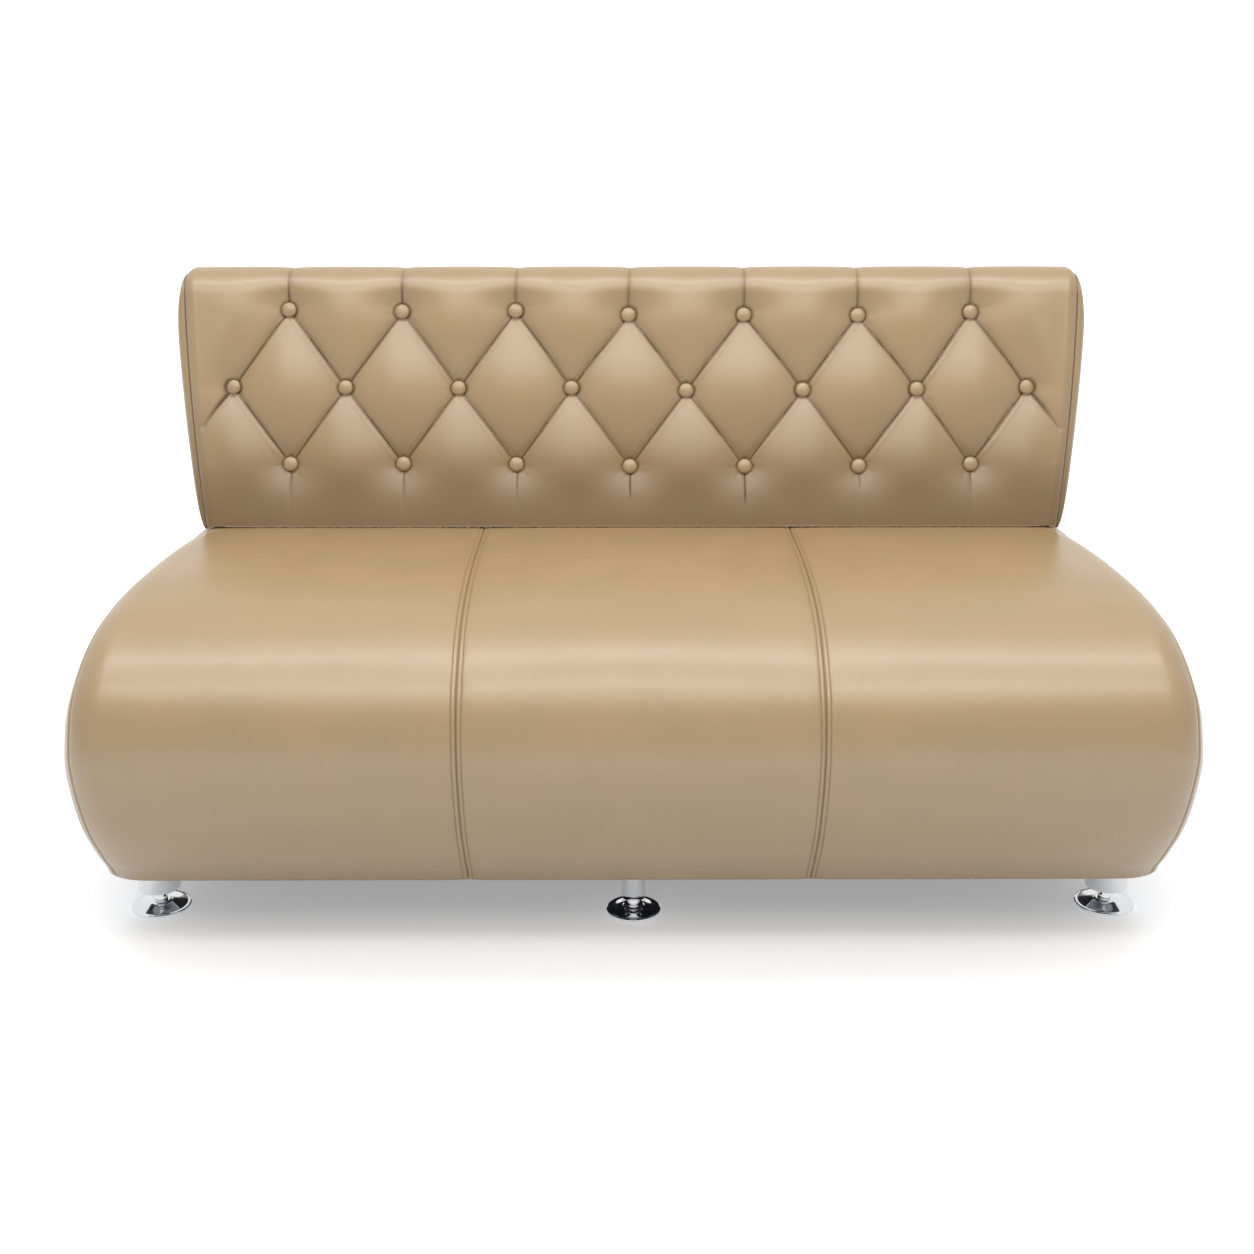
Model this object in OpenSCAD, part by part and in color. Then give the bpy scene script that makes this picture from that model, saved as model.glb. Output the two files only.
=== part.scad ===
// Armless waiting sofa with a rounded seat, a deep-buttoned backrest and six chrome levelling feet

/* [Seat] */
// Height of the seat's crown above the floor
seat_top = 466; // [440:1:500]
// Height of the flat underside above the floor
base_h = 85; // [80:1:110]
// Depth of the seat body, nose to rear face
seat_d = 668; // [650:1:720]
// Half width of the seat at the nose
nose_half = 717; // [690:1:760]
// How much narrower each side is at the rear than at the nose
side_taper = 55; // [30:1:60]
// Radius that rounds the seat into its two ends
end_r = 60; // [52:1:70]
// Half width of the centre panel between the two seams
panel_half = 228; // [200:1:260]
// Radius of the seat's rear edges
rear_edge_r = 24; // [18:1:30]
// Depth of the shallow valley along each panel seam
seam_sink = 3; // [1:0.5:5]
// Width of that valley to each side of the seam
seam_w = 14; // [8:1:20]
// Crown of each end panel
side_crown = 5; // [2:1:8]

/* [Upholstery] */
// Thickness of the leather cloth
cover_t = 2.5; // [1.5:0.1:4]
// Thickness of the seat foam
foam_t = 45; // [35:1:50]
// Gap between soft layers
fit_gap = 0.3; // [0.2:0.1:0.5]
// Thickness of the underside's dust cover
dust_t = 1; // [0.8:0.1:2]

/* [Backrest] */
// Lean of the backrest's face from upright, in degrees
recline = 18.4; // [14:0.2:22]
// Depth of the backrest where it stands on the seat
back_foot_d = 148; // [140:1:160]
// Length of the face from the seat to the start of the top roll
face_run = 350; // [340:1:380]
// Radius of the top roll
roll_r = 48; // [44:1:56]
// Set-in of the side seams from the nose's side, at the seat
seam_foot_in = 84; // [77:1:97]
// Set-in of the side seams from the nose's side, at the top
seam_top_in = 53; // [37:1:67]
// Crown of each side panel of the backrest
back_crown = 9; // [5:1:12]
// Radius that rounds the backrest into its sides
back_end_r = 18; // [14:1:24]
// Set-in of the backrest's rear foot from the seat's rear face
rear_set = 6; // [2:1:12]

/* [Tufting] */
// Set-in of the outermost buttons from the side seams at the top
edge_button_in = 72.5; // [60:0.5:90]
// Distance from the highest button row to the start of the top roll, along the face
last_row_in = 27; // [20:0.5:38]
// Height of the lowest button row above the seat, along the face
first_row = 96; // [80:1:110]
// Buttons in the top row and in the bottom row
short_row = 7; // [5:2:7]
// Diameter of a covered button
button_d = 24; // [20:1:28]
// Depth of the cover at a button
button_sink = 26; // [22:1:27]
// Depth of the cover along a pleat
pleat_sink = 12; // [6:1:16]
// Depth from the pad's crest to its back
pad_t = 30; // [30:1:36]

/* [Frame] */
// Thickness of the plywood ribs
rib_t = 18; // [15:1:21]
// Thickness of the plywood base
base_t = 15; // [12:1:18]
// Set-in of the end ribs from the seat's narrow rear end
rib_set_in = 62; // [60:1:82]
// Thickness of the timber rails
rail_t = 20; // [18:1:25]
// Width of the timber rails
rail_w = 50; // [40:1:60]
// Thickness of the thin plywood panels
panel_t = 9; // [6:1:10]
// Thickness of the backrest's foam slab
slab_t = 25; // [20:1:28]

/* [Legs and feet] */
// Set-in of each corner leg's axis from the seat's side
leg_in = 44; // [44:1:70]
// Distance of the front corner legs behind the nose
front_leg_y = 203; // [190:1:220]
// Distance of the front centre leg behind the nose
centre_leg_y = 186; // [180:1:210]
// Distance of the rear legs behind the nose
rear_leg_y = 560; // [520:1:580]
// Diameter of a corner leg's tube
corner_tube_d = 58; // [50:1:60]
// Diameter of a centre leg's tube
centre_tube_d = 33; // [30:1:40]
// Height of a corner tube's lower end
corner_tube_z = 30; // [28:1:34]
// Height of a centre tube's lower end
centre_tube_z = 22; // [22:1:26]
// Wall of the leg tubes
tube_wall = 1.5; // [1:0.1:2]
// Diameter of a corner foot's disc
corner_disc_d = 82; // [70:1:90]
// Diameter of a centre foot's disc
centre_disc_d = 76; // [66:1:84]
// Diameter of the levelling thread
thread_d = 10; // [8:1:10]

/* [Hidden] */
cut = 1;
leather = "#b89a74";
timber = "#c9a878";
ply = "#d3b98c";
foam_c = "#e9dcb0";
steel = "#b9bcc0";
chrome_c = "#d8dade";

// Seat outline, seen from the side
deck_share = 0.98;
seat_h = seat_top - base_h;
front_d = seat_d - back_foot_d;
mid_y = seat_d / 2;
deck_z = base_h + deck_share * seat_h;
base_top = base_h + base_t;
rib_half = nose_half - side_taper - rib_set_in;
wrap_t = 1;
base_low = base_h + wrap_t + fit_gap;
seam_turn = 46;
rib_in = foam_t * cos(seam_turn) + end_r * (1 - cos(seam_turn)) + fit_gap;
foam_in = cover_t + fit_gap;
lip_share = (base_t + 2 * fit_gap) / (seat_h - rib_in);
nose_shares = [[0.212, 0], [0.187, lip_share], [0.142, 0.118], [0.058, 0.29], [0.006, 0.5],
    [0.007, 0.64], [0.06, 0.79], [0.206, 0.925], [0.4, 0.985], [0.62, 1], [0.83, 0.995],
    [1, deck_share]];
curve_steps = 2;
tuck_d = 50;
arc_step = 30;
taper_power = 1.1;
run_shares = [0, 0.04, 0.1, 1];
turns = [seam_turn / 3, 2 * seam_turn / 3, seam_turn];
end_turns = [seam_turn, (seam_turn + 90) / 2, 90];
crown_shares = [0.25, 0.6];
centre_shares = [-1, -0.94, -0.85, 0.85, 0.94, 1];

function mix(a, b, t) = a + (b - a) * t;
function flat(rows) = [for (row = rows) for (p = row) p];
function spline(a, b, c, d, t) = 0.5 * (2 * b + (c - a) * t + (2 * a - 5 * b + 4 * c - d) * t * t
    + (3 * b - a - 3 * c + d) * t * t * t);

nose_pts = [for (s = nose_shares) [s[0] * front_d, base_h + s[1] * seat_h]];
last_nose = len(nose_pts) - 1;
front_curve = [for (i = [0:last_nose - 1]) for (k = [0:curve_steps - 1])
    spline(nose_pts[max(i - 1, 0)], nose_pts[i], nose_pts[i + 1],
        nose_pts[min(i + 2, last_nose)], k / curve_steps)];
junction = [front_d, deck_z];
tuck = [front_d + tuck_d, deck_z];
rear_arcs = concat(
    [for (a = [90:-arc_step:0]) [seat_d - rear_edge_r * (1 - cos(a)), deck_z - rear_edge_r * (1 - sin(a))]],
    [for (a = [0:arc_step:90]) [seat_d - rear_edge_r * (1 - cos(a)), base_h + rear_edge_r * (1 - sin(a))]]);
outline = concat(front_curve, [junction, tuck], rear_arcs);
lip_i = curve_steps;
junction_i = len(front_curve);
tuck_i = junction_i + 1;
floor_steps = 4;
first_pt = outline[0];
last_pt = outline[len(outline) - 1];
end_loop = concat(outline, [for (k = [1:floor_steps - 1]) mix(last_pt, first_pt, k / floor_steps)]);
end_mid = [mid_y, base_h + seat_h / 2];

function inset(p, d) = [mid_y + (p[0] - mid_y) * (1 - 2 * d / seat_d),
    base_h + (p[1] - base_h) * (1 - d / seat_h)];
function side_half(y) = nose_half - side_taper * pow(max(y, 0) / seat_d, taper_power);
function turn_x(y) = side_half(y) - end_r;
function valley(x, y) = seam_sink * exp(-pow((abs(x) - panel_half) / seam_w, 2))
    * min(1, max(0, (front_d - y) / tuck_d));
function seat_pt(p, run, turn, d) =
    let (x = mix(panel_half + fit_gap / 2, turn_x(p[0]), run),
        q = inset(p, d * cos(turn) + end_r * (1 - cos(turn)) + valley(x, p[0])))
    [x + (end_r - d) * sin(turn), q[0], q[1]];
function centre_pt(p, share, d) =
    let (x = share * (panel_half - fit_gap / 2), q = inset(p, d + valley(x, p[0])))
    [x, q[0], q[1]];
function side_grid(from, to, d, slack) = concat(
    [for (s = run_shares) [for (j = [from:to]) seat_pt(outline[j], s, 0, d)]],
    [for (a = turns) [for (j = [from:to]) seat_pt(outline[j], 1, a - slack, d)]]);
function mirrored(grid) = [for (i = [len(grid) - 1:-1:0]) [for (p = grid[i]) [-p[0], p[1], p[2]]]];

// Backrest sizes that follow the seat's and the roll's
seam_foot = nose_half - seam_foot_in;
seam_top = nose_half - seam_top_in;
button_pitch = 2 * (seam_top - edge_button_in) / short_row;
row_pitch = (face_run - last_row_in - first_row) / 2;

// Backrest section: u runs up the face, n stands out of it to the front
face_z = deck_z + fit_gap;
roll_c = [front_d + face_run * sin(recline) + roll_r * cos(recline),
    face_z + face_run * cos(recline) - roll_r * sin(recline)];
rear_foot = [seat_d - rear_set, face_z];
rear_span = norm(roll_c - rear_foot);
rear_lean = atan((roll_c[0] - rear_foot[0]) / (roll_c[1] - rear_foot[1])) + asin(roll_r / rear_span);
rear_turn = 180 + rear_lean - recline;
rear_run = sqrt(rear_span * rear_span - roll_r * roll_r);
flare_power = 1.7;
seam_slack = 0.9;
flare_run = face_run + roll_r;
roll_stop = 30;
roll_turns = concat([for (a = [roll_stop:roll_stop:150]) a], [rear_turn]);
face_steps = 6;
rear_steps = 4;
mid_shares = [0.62, 0.5];
section_mid = [mix(front_d, roll_c[0], mid_shares[0]), mix(face_z, roll_c[1], mid_shares[1])];

function face_pt(u, n) = [front_d + u * sin(recline) - n * cos(recline),
    face_z + u * cos(recline) + n * sin(recline)];
function face_floor(d) = d * tan(recline);
function roll_pt(a, d) = roll_c + (roll_r - d) * [-cos(recline + a), sin(recline + a)];
function rear_pt(s, d) = roll_pt(rear_turn, d) - [sin(rear_lean), cos(rear_lean)] * s;
function rear_floor(d) = (roll_pt(rear_turn, d)[1] - face_z) / cos(rear_lean);
function height_u(p) = (p[0] - front_d) * sin(recline) + (p[1] - face_z) * cos(recline);
function seam_half(p) = seam_top - (seam_top - seam_foot)
    * pow(max(0, 1 - height_u(p) / flare_run), flare_power);
function section(df, dr) = concat(
    [for (k = [0:face_steps]) face_pt(mix(face_floor(df), face_run, k / face_steps), -df)],
    [for (a = roll_turns) roll_pt(a, df)],
    [for (k = [0:rear_steps]) rear_pt(mix(fit_gap, rear_floor(dr), k / rear_steps), dr)],
    [for (k = [1:2]) mix(rear_pt(rear_floor(dr), dr), face_pt(face_floor(df), -df), k / 3)]);

rear_y = max([for (a = roll_turns) roll_pt(a, 0)[0]]);
nose_y = min([for (p = outline) p[0]]);
y_shift = -(rear_y + nose_y) / 2;

// Tufting grid, four cells between a button and the next row's
half_pitch = button_pitch / 2;
cells = 4;
cell_x = half_pitch / cells;
cell_u = row_pitch / cells;
long_row = short_row + 1;
side_cols = short_row * cells;
edge_turn = 60;
pad_edges = [0, edge_turn / 2, edge_turn];
dimple_r = 22;
pillow_power = 0.7;
fade_rows = 0.6;
face_us = concat([0], [for (k = [-2:2 * cells]) first_row + k * cell_u], [face_run]);

function near_even(p) = abs(p - 2 * round(p / 2));
function even_odd(v) = abs(v - round(v));
function pillow(p, q) =
    let (a = even_odd((p + q) / 2), b = abs(p) > short_row ? 0.5 : even_odd((p - q) / 2),
        t = q > 2 ? near_even(p) : q < 0 ? mix(1, near_even(p), max(0, 1 + q / fade_rows))
            : sqrt(4 * a * b))
    pow(t, pillow_power);
function dimple(x, u) = max([for (r = [0:2]) for (i = [0:(r == 1 ? long_row : short_row) - 1])
    let (dx = x - button_x(r, i), du = u - button_u(r)) exp(-(dx * dx + du * du) / (dimple_r * dimple_r))]);
function button_x(r, i) = (i - ((r == 1 ? long_row : short_row) - 1) / 2) * button_pitch;
function button_u(r) = first_row + r * row_pitch;
function sink(x, u) =
    pleat_sink * (1 - pillow(abs(x) / half_pitch, (u - first_row) / row_pitch))
    + (button_sink - pleat_sink) * dimple(x, u);
function roll_sink(x, a) = pleat_sink * (1 - pow(near_even(x / half_pitch), pillow_power))
    * max(0, 1 - a / 120);
function pad_pt(x, row, d) =
    row < len(face_us)
    ? let (u = row == 0 ? face_floor(d) : face_us[row], p = face_pt(u, -d)) [x, p[0], p[1]]
    : let (p = roll_pt(roll_turns[row - len(face_us)], d)) [x, p[0], p[1]];
pad_rows = len(face_us) + len(roll_turns);
function row_sink(x, row) = row < len(face_us) ? sink(x, face_us[row])
    : roll_sink(x, roll_turns[row - len(face_us)]);
function row_half(row) = let (p = pad_pt(0, row, 0)) seam_half([p[1], p[2]]);
function pad_edge_pt(row, turn) =
    let (x = row_half(row) - back_end_r * sin(edge_turn),
        keep = 1 - turn / edge_turn)
    pad_pt(x + back_end_r * sin(turn) - seam_slack, row,
        row_sink(x, row) * keep + back_end_r * (1 - cos(turn)));
pad_right = [for (t = pad_edges) [for (row = [0:pad_rows - 1]) pad_edge_pt(row, t)]];
pad_mid = [for (i = [-side_cols:side_cols]) [for (row = [0:pad_rows - 1])
    pad_pt(i * cell_x, row, row_sink(i * cell_x, row))]];
pad_outer = concat(mirrored(pad_right), pad_mid, pad_right);

// A closed sheet between two grids of points, in rows and columns
module grid_solid(outer, inner) {
    ni = len(outer);
    nj = len(outer[0]);
    n = ni * nj;
    polyhedron(points = concat(flat(outer), flat(inner)), faces = concat(
        [for (i = [0:ni - 2]) for (j = [0:nj - 2]) let (a = i * nj + j, b = a + nj)
            each [[a, a + 1, b + 1], [a, b + 1, b],
                [n + a, n + b + 1, n + a + 1], [n + a, n + b, n + b + 1]]],
        [for (j = [0:nj - 2]) let (z = n - nj + j)
            each [[j, n + j, n + j + 1], [j, n + j + 1, j + 1],
                [z, z + 1, n + z + 1], [z, n + z + 1, n + z]]],
        [for (i = [0:ni - 2]) let (a = i * nj, b = a + nj, c = a + nj - 1, d = c + nj)
            each [[a, b, n + b], [a, n + b, n + a], [d, c, n + c], [d, n + c, n + d]]]));
}

// A closed solid through a stack of rings, closed by a point at each end; the first bands may be cut
// along their other diagonal, so that a skin's two faces match
module ring_solid(start, rings, finish, turned = 0) {
    m = len(rings[0]);
    n = len(rings);
    polyhedron(points = concat([start], flat(rings), [finish]), faces = concat(
        [for (k = [0:m - 1]) [0, 1 + (k + 1) % m, 1 + k]],
        [for (r = [0:n - 2]) for (k = [0:m - 1])
            let (a = 1 + r * m + k, b = 1 + r * m + (k + 1) % m)
            each r < turned ? [[a, b, a + m], [b, b + m, a + m]] : [[a, b, b + m], [a, b + m, a + m]]],
        [for (k = [0:m - 1]) [1 + n * m, 1 + (n - 1) * m + k, 1 + (n - 1) * m + (k + 1) % m]]));
}

module placed() {
    translate([0, y_shift, 0]) children();
}

module block(x0, x1, y0, y1, z0, z1) {
    translate([x0, y0, z0]) cube([x1 - x0, y1 - y0, z1 - z0]);
}

module plate_yz(x0, x1, pts) {
    translate([x0, 0, 0]) rotate([90, 0, 90]) linear_extrude(x1 - x0) polygon(pts);
}

// Seat frame
rear_in = seat_d - cover_t - fit_gap - panel_t;
deck_top = deck_z - cover_t - fit_gap;
deck_low = deck_top - rail_t - panel_t;
deck_rear = seat_d - rear_edge_r - foam_in;
deck_front = front_d + fit_gap;
rib_low = inset(outline[lip_i], rib_in);
rib_pts = concat([[rib_low[0], base_top]],
    [for (j = [lip_i:junction_i]) inset(outline[j], rib_in)],
    [[deck_front, deck_low], [rear_in, deck_low], [rear_in, base_top]]);
bays = [[-rib_half + rib_t, -panel_half - rib_t / 2], [-panel_half + rib_t / 2, panel_half - rib_t / 2],
    [panel_half + rib_t / 2, rib_half - rib_t]];
web_shares = [0.4, 0.88];
web_y0 = web_shares[0] * front_d;
web_y1 = web_shares[1] * front_d;
web_high_share = 0.97;
web_z = inset([0, base_h + web_high_share * seat_h], rib_in)[1] - rail_t / 2;
web_w = 60;
web_t = 2;
web_count = 2;

module footprint(d) {
    pts = concat(
        [for (a = [0:22.5:90]) let (q = inset(first_pt, d * cos(a) + end_r * (1 - cos(a))))
            [turn_x(first_pt[0]) + (end_r - d) * sin(a), q[0]]],
        [for (a = [90:-22.5:0]) let (q = inset(last_pt, d * cos(a) + end_r * (1 - cos(a))))
            [turn_x(last_pt[0]) + (end_r - d) * sin(a), q[0]]]);
    polygon(concat(pts, [for (i = [len(pts) - 1:-1:0]) [-pts[i][0], pts[i][1]]]));
}

module base_panel() {
    color(ply) placed() difference() {
        translate([0, 0, base_low]) linear_extrude(base_top - base_low)
            footprint(cover_t + seam_sink + fit_gap);
        leg_places() screw_places()
            cylinder(r = screw_r + screw_gap, h = 4 * base_h, center = true, $fn = 24);
    }
}

module end_rib() {
    plate_yz(rib_half - rib_t, rib_half, rib_pts);
}

module end_rib_left() {
    color(ply) placed() mirror([1, 0, 0]) end_rib();
}

module end_rib_right() {
    color(ply) placed() end_rib();
}

module mid_ribs() {
    color(ply) placed() for (s = [-1, 1])
        plate_yz(s * panel_half - rib_t / 2, s * panel_half + rib_t / 2, rib_pts);
}

module rail_set(y0, y1, z0, z1) {
    for (b = bays) block(b[0], b[1], y0, y1, z0, z1);
}

nose_rail_share = 0.48;
nose_rail_z = base_h + nose_rail_share * seat_h;
nose_rail_in = 8;
nose_rail_y = rib_in + nose_rail_in;

module nose_rails() {
    color(timber) placed() rail_set(nose_rail_y, nose_rail_y + rail_t, nose_rail_z, nose_rail_z + rail_w);
}

module bottom_rails() {
    color(timber) placed() {
        rail_set(rib_low[0] + fit_gap, rib_low[0] + fit_gap + rail_t, base_top, base_top + rail_w);
        rail_set(rear_in - rail_t, rear_in, base_top, base_top + rail_w);
    }
}

module front_web_rails() {
    color(timber) placed() rail_set(web_y0, web_y0 + rail_t, web_z - rail_w, web_z);
}

module rear_web_rails() {
    color(timber) placed() rail_set(web_y1, web_y1 + rail_t, web_z - rail_w, web_z);
}

module deck_rail() {
    color(timber) placed() difference() {
        block(-rib_half, rib_half, deck_front, deck_rear, deck_low, deck_top);
        bolt_places() cylinder(r = bolt_r + bolt_gap, h = 4 * seat_top, center = true, $fn = 32);
    }
}

module rear_panel() {
    color(ply) placed() block(-rib_half, rib_half, rear_in, rear_in + panel_t - fit_gap,
        base_h + rear_edge_r, deck_low);
}

module webbing() {
    color("#3a3a3c") placed() for (b = bays) for (k = [1:web_count])
        let (x = mix(b[0], b[1], k / (web_count + 1)))
        block(x - web_w / 2, x + web_w / 2, web_y0, web_y1 + rail_t, web_z, web_z + web_t);
}

// Seat upholstery
function centre_rows(d) = [for (k = [1:len(centre_shares) - 2])
    [for (j = [lip_i:junction_i]) centre_pt(outline[j], centre_shares[k], d)]];

module seat_foam() {
    right = side_grid(lip_i, junction_i, foam_in, fit_gap);
    right_in = side_grid(lip_i, junction_i, foam_t, fit_gap);
    color(foam_c) placed()
        grid_solid(concat(mirrored(right), centre_rows(foam_in), right),
            concat(mirrored(right_in), centre_rows(foam_t), right_in));
}

function end_ring(d, turn, slack) = [for (p = end_loop)
    let (q = inset(p, d * cos(turn) + end_r * (1 - cos(turn)) + slack))
    [turn_x(p[0]) + (end_r - d) * sin(turn) + slack, q[0], q[1]]];
function crown_ring(d, s) = [for (p = end_loop)
    let (q = mix(inset(p, end_r), end_mid, s))
    [side_half(mix(p[0], mid_y, s)) - d + side_crown * (1 - (1 - s) * (1 - s)), q[0], q[1]]];
function end_pole(d) = [side_half(end_mid[0]) - d + side_crown, end_mid[0], end_mid[1]];

module end_cover() {
    inner = concat([for (k = [len(crown_shares) - 1:-1:0]) crown_ring(cover_t, crown_shares[k])],
        [for (k = [len(end_turns) - 1:-1:0]) end_ring(cover_t, end_turns[k], 0)]);
    outer = concat([for (a = end_turns) end_ring(0, a, 0)], [for (s = crown_shares) crown_ring(0, s)]);
    ring_solid(end_pole(cover_t), concat([for (r = inner) raised(r, base_h + wrap_t)], outer),
        end_pole(0), len(inner) - 1);
}

module end_cover_left() {
    color(leather) placed() mirror([1, 0, 0]) end_cover();
}

module end_cover_right() {
    color(leather) placed() end_cover();
}

foam_floor = base_top + fit_gap;
function raised(ring, z) = [for (p = ring) [p[0], p[1], max(p[2], z)]];

module side_foam() {
    plug = [for (p = end_loop) let (q = inset(p, rib_in + fit_gap)) [rib_half + fit_gap, q[0], q[1]]];
    seat_line = [for (p = end_loop)
        let (q = inset(p, rib_in + fit_gap), x = turn_x(p[0]) + (end_r - foam_t) * sin(seam_turn) + fit_gap)
        [max(rib_half + 2 * fit_gap, x), q[0], q[1]]];
    rings = concat([plug, seat_line, end_ring(foam_in, seam_turn, fit_gap)],
        [for (k = [1:len(end_turns) - 1]) end_ring(foam_in, end_turns[k], 0)],
        [for (s = crown_shares) crown_ring(foam_in, s)]);
    ring_solid([rib_half + fit_gap, end_mid[0], end_mid[1]],
        [for (r = rings) raised(r, foam_floor)], end_pole(foam_in));
}

module side_foam_left() {
    color(foam_c) placed() mirror([1, 0, 0]) side_foam();
}

module side_foam_right() {
    color(foam_c) placed() side_foam();
}

module seat_cover_right() {
    color(leather) placed()
        grid_solid(side_grid(0, tuck_i, 0, fit_gap), side_grid(0, tuck_i, cover_t, fit_gap));
}

module seat_cover_left() {
    color(leather) placed() grid_solid(mirrored(side_grid(0, tuck_i, 0, fit_gap)),
        mirrored(side_grid(0, tuck_i, cover_t, fit_gap)));
}

module seat_cover_centre() {
    color(leather) placed() grid_solid(
        [for (s = centre_shares) [for (j = [0:tuck_i]) centre_pt(outline[j], s, 0)]],
        [for (s = centre_shares) [for (j = [0:tuck_i]) centre_pt(outline[j], s, cover_t)]]);
}

// The rear cover is one width: its first row starts a gap behind the panels' tucked edges
function rear_grid(grid) = [for (i = [len(run_shares) - 1:len(grid) - 1])
    [for (j = [0:len(grid[i]) - 1]) let (p = grid[i][j]) j == 0 ? [p[0], p[1] + fit_gap, p[2]] : p]];

module seat_rear_cover() {
    last = len(outline) - 1;
    outer = rear_grid(side_grid(tuck_i, last, 0, fit_gap));
    inner = rear_grid(side_grid(tuck_i, last, cover_t, fit_gap));
    color(leather) placed() difference() {
        grid_solid(concat(mirrored(outer), outer), concat(mirrored(inner), inner));
        bolt_places() cylinder(r = bolt_r + bolt_gap, h = 4 * seat_top, center = true, $fn = 32);
    }
}

dust_in = 22;

module dust_cover() {
    color("#2b2b2d") placed() difference() {
        translate([0, 0, base_h - dust_t]) linear_extrude(base_low - base_h + dust_t) footprint(dust_in);
        leg_places() screw_places()
            cylinder(r = screw_r + screw_gap, h = 4 * base_h, center = true, $fn = 24);
    }
}

// Backrest frame
slab_n = -pad_t - fit_gap;
board_n = slab_n - slab_t - fit_gap;
board_back = board_n - panel_t;
sheet_tail = face_run / 4;
back_in = seam_foot - back_crown - back_end_r;
washer_r = 10;
rail_slack = 2;
foot_rail_y1 = seat_d - rear_set - cover_t - fit_gap - rail_slack;
foot_rail_y0 = face_pt(face_floor(-board_back) + rail_w / cos(recline), board_back)[0] + fit_gap;
foot_rail_z1 = face_z + rail_w;
top_rail_u = button_u(2) + washer_r + fit_gap;

module in_face() {
    translate([0, front_d, face_z]) rotate([-recline, 0, 0]) children();
}

module face_sheet(n_front, t) {
    difference() {
        in_face() translate([0, t - n_front, 0]) rotate([90, 0, 0]) linear_extrude(t)
            polygon([[-back_in, -sheet_tail], [back_in, -sheet_tail], [back_in, face_run],
                [-back_in, face_run]]);
        block(-2 * nose_half, 2 * nose_half, -seat_d, 2 * seat_d, -seat_top, face_z);
        tuft_places() cylinder(r = twine_hole_r, h = 8 * pad_t, center = true, $fn = 24);
    }
}

module back_slab() {
    color(foam_c) placed() face_sheet(slab_n, slab_t);
}

module back_panel() {
    color(ply) placed() face_sheet(board_n, panel_t);
}

module back_foot_rail() {
    color(timber) placed() difference() {
        block(-back_in, back_in, foot_rail_y0, foot_rail_y1, face_z, foot_rail_z1);
        bolt_places() cylinder(r = bolt_r + bolt_gap, h = 4 * seat_top, center = true, $fn = 32);
        bolt_places() translate([0, 0, foot_rail_z1 - nut_h])
            cylinder(r = nut_r + bolt_gap, h = 2 * nut_h, $fn = 32);
    }
}

module back_top_rail() {
    color(timber) placed() in_face()
        block(-back_in, back_in, -board_back, 2 * roll_r - cover_t - 2 * fit_gap, top_rail_u, face_run);
}

back_rib_shares = [-3.25, -1.25, 1.25, 3.25];
rib_slack = 1;
rib_rear = cover_t + fit_gap + rib_slack;

module back_ribs() {
    low_f = face_pt((foot_rail_z1 - face_z - board_back * sin(recline)) / cos(recline), board_back);
    high_f = face_pt(top_rail_u, board_back);
    high_r = rear_pt((rear_pt(0, rib_rear)[1] - high_f[1]) / cos(rear_lean) + rail_t, rib_rear);
    low_r = rear_pt((rear_pt(0, rib_rear)[1] - foot_rail_z1) / cos(rear_lean), rib_rear);
    color(ply) placed() for (s = back_rib_shares)
        plate_yz(s * button_pitch - rib_t / 2, s * button_pitch + rib_t / 2, [low_f, high_f, high_r, low_r]);
}

roll_core = roll_r - pad_t;

module back_roll_foam() {
    color(foam_c) placed() in_face() difference() {
        translate([-back_in, roll_r, face_run]) rotate([0, 90, 0])
            cylinder(r = roll_core * cos(roll_stop / 2) - fit_gap, h = 2 * back_in, $fn = 48);
        block(-nose_half, nose_half, -nose_half, nose_half, 0, face_run);
    }
}

// Backrest upholstery
module tufted_cover() {
    inner_mid = [for (row = [0:pad_rows - 1]) row];
    n_o = len(pad_outer);
    left = [for (row = inner_mid) let (h = pad_outer[0][row]) pad_pt(h[0] + 2 * seam_slack, row, pad_t)];
    right = [for (row = inner_mid) let (h = pad_outer[n_o - 1][row])
        pad_pt(h[0] - 2 * seam_slack, row, pad_t)];
    nj = pad_rows;
    n = n_o * nj;
    l0 = n;
    r0 = n + nj;
    color(leather) placed() polyhedron(points = concat(flat(pad_outer), left, right), faces = concat(
        [for (i = [0:n_o - 2]) for (j = [0:nj - 2]) let (a = i * nj + j, b = a + nj)
            each [[a, a + 1, b + 1], [a, b + 1, b]]],
        [for (j = [0:nj - 2]) let (z = n - nj + j)
            each [[l0 + j, r0 + j + 1, l0 + j + 1], [l0 + j, r0 + j, r0 + j + 1],
                [j, l0 + j, l0 + j + 1], [j, l0 + j + 1, j + 1],
                [z, z + 1, r0 + j + 1], [z, r0 + j + 1, r0 + j]]],
        [for (i = [0:n_o - 2]) let (a = i * nj, b = a + nj, c = a + nj - 1, d = c + nj)
            each [[a, b, l0], [d, c, l0 + nj - 1]]],
        [[l0, n - nj, r0], [r0 + nj - 1, n - 1, l0 + nj - 1]]));
}

side_drop = back_end_r * (1 - cos(edge_turn));
back_shares = [0.12, 0.4];

function back_ring(df, dr) = [for (p = section(df, dr)) [seam_half(p), p[0], p[1]]];
function back_crown_ring(s, d) = [for (p = section(side_drop, side_drop / 2)) let (q = mix(p, section_mid, s))
    [seam_half(q) - d + back_crown * pow(1 - (1 - s) * (1 - s), 0.5), q[0], q[1]]];
function back_pole(d) = [seam_half(section_mid) - d + back_crown, section_mid[0], section_mid[1]];

module back_end_cover() {
    ring_solid([seam_half(section_mid), section_mid[0], section_mid[1]],
        concat([back_ring(side_drop, side_drop / 2)], [for (s = back_shares) back_crown_ring(s, 0)]),
        back_pole(0));
}

module back_end_cover_left() {
    color(leather) placed() mirror([1, 0, 0]) back_end_cover();
}

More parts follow.
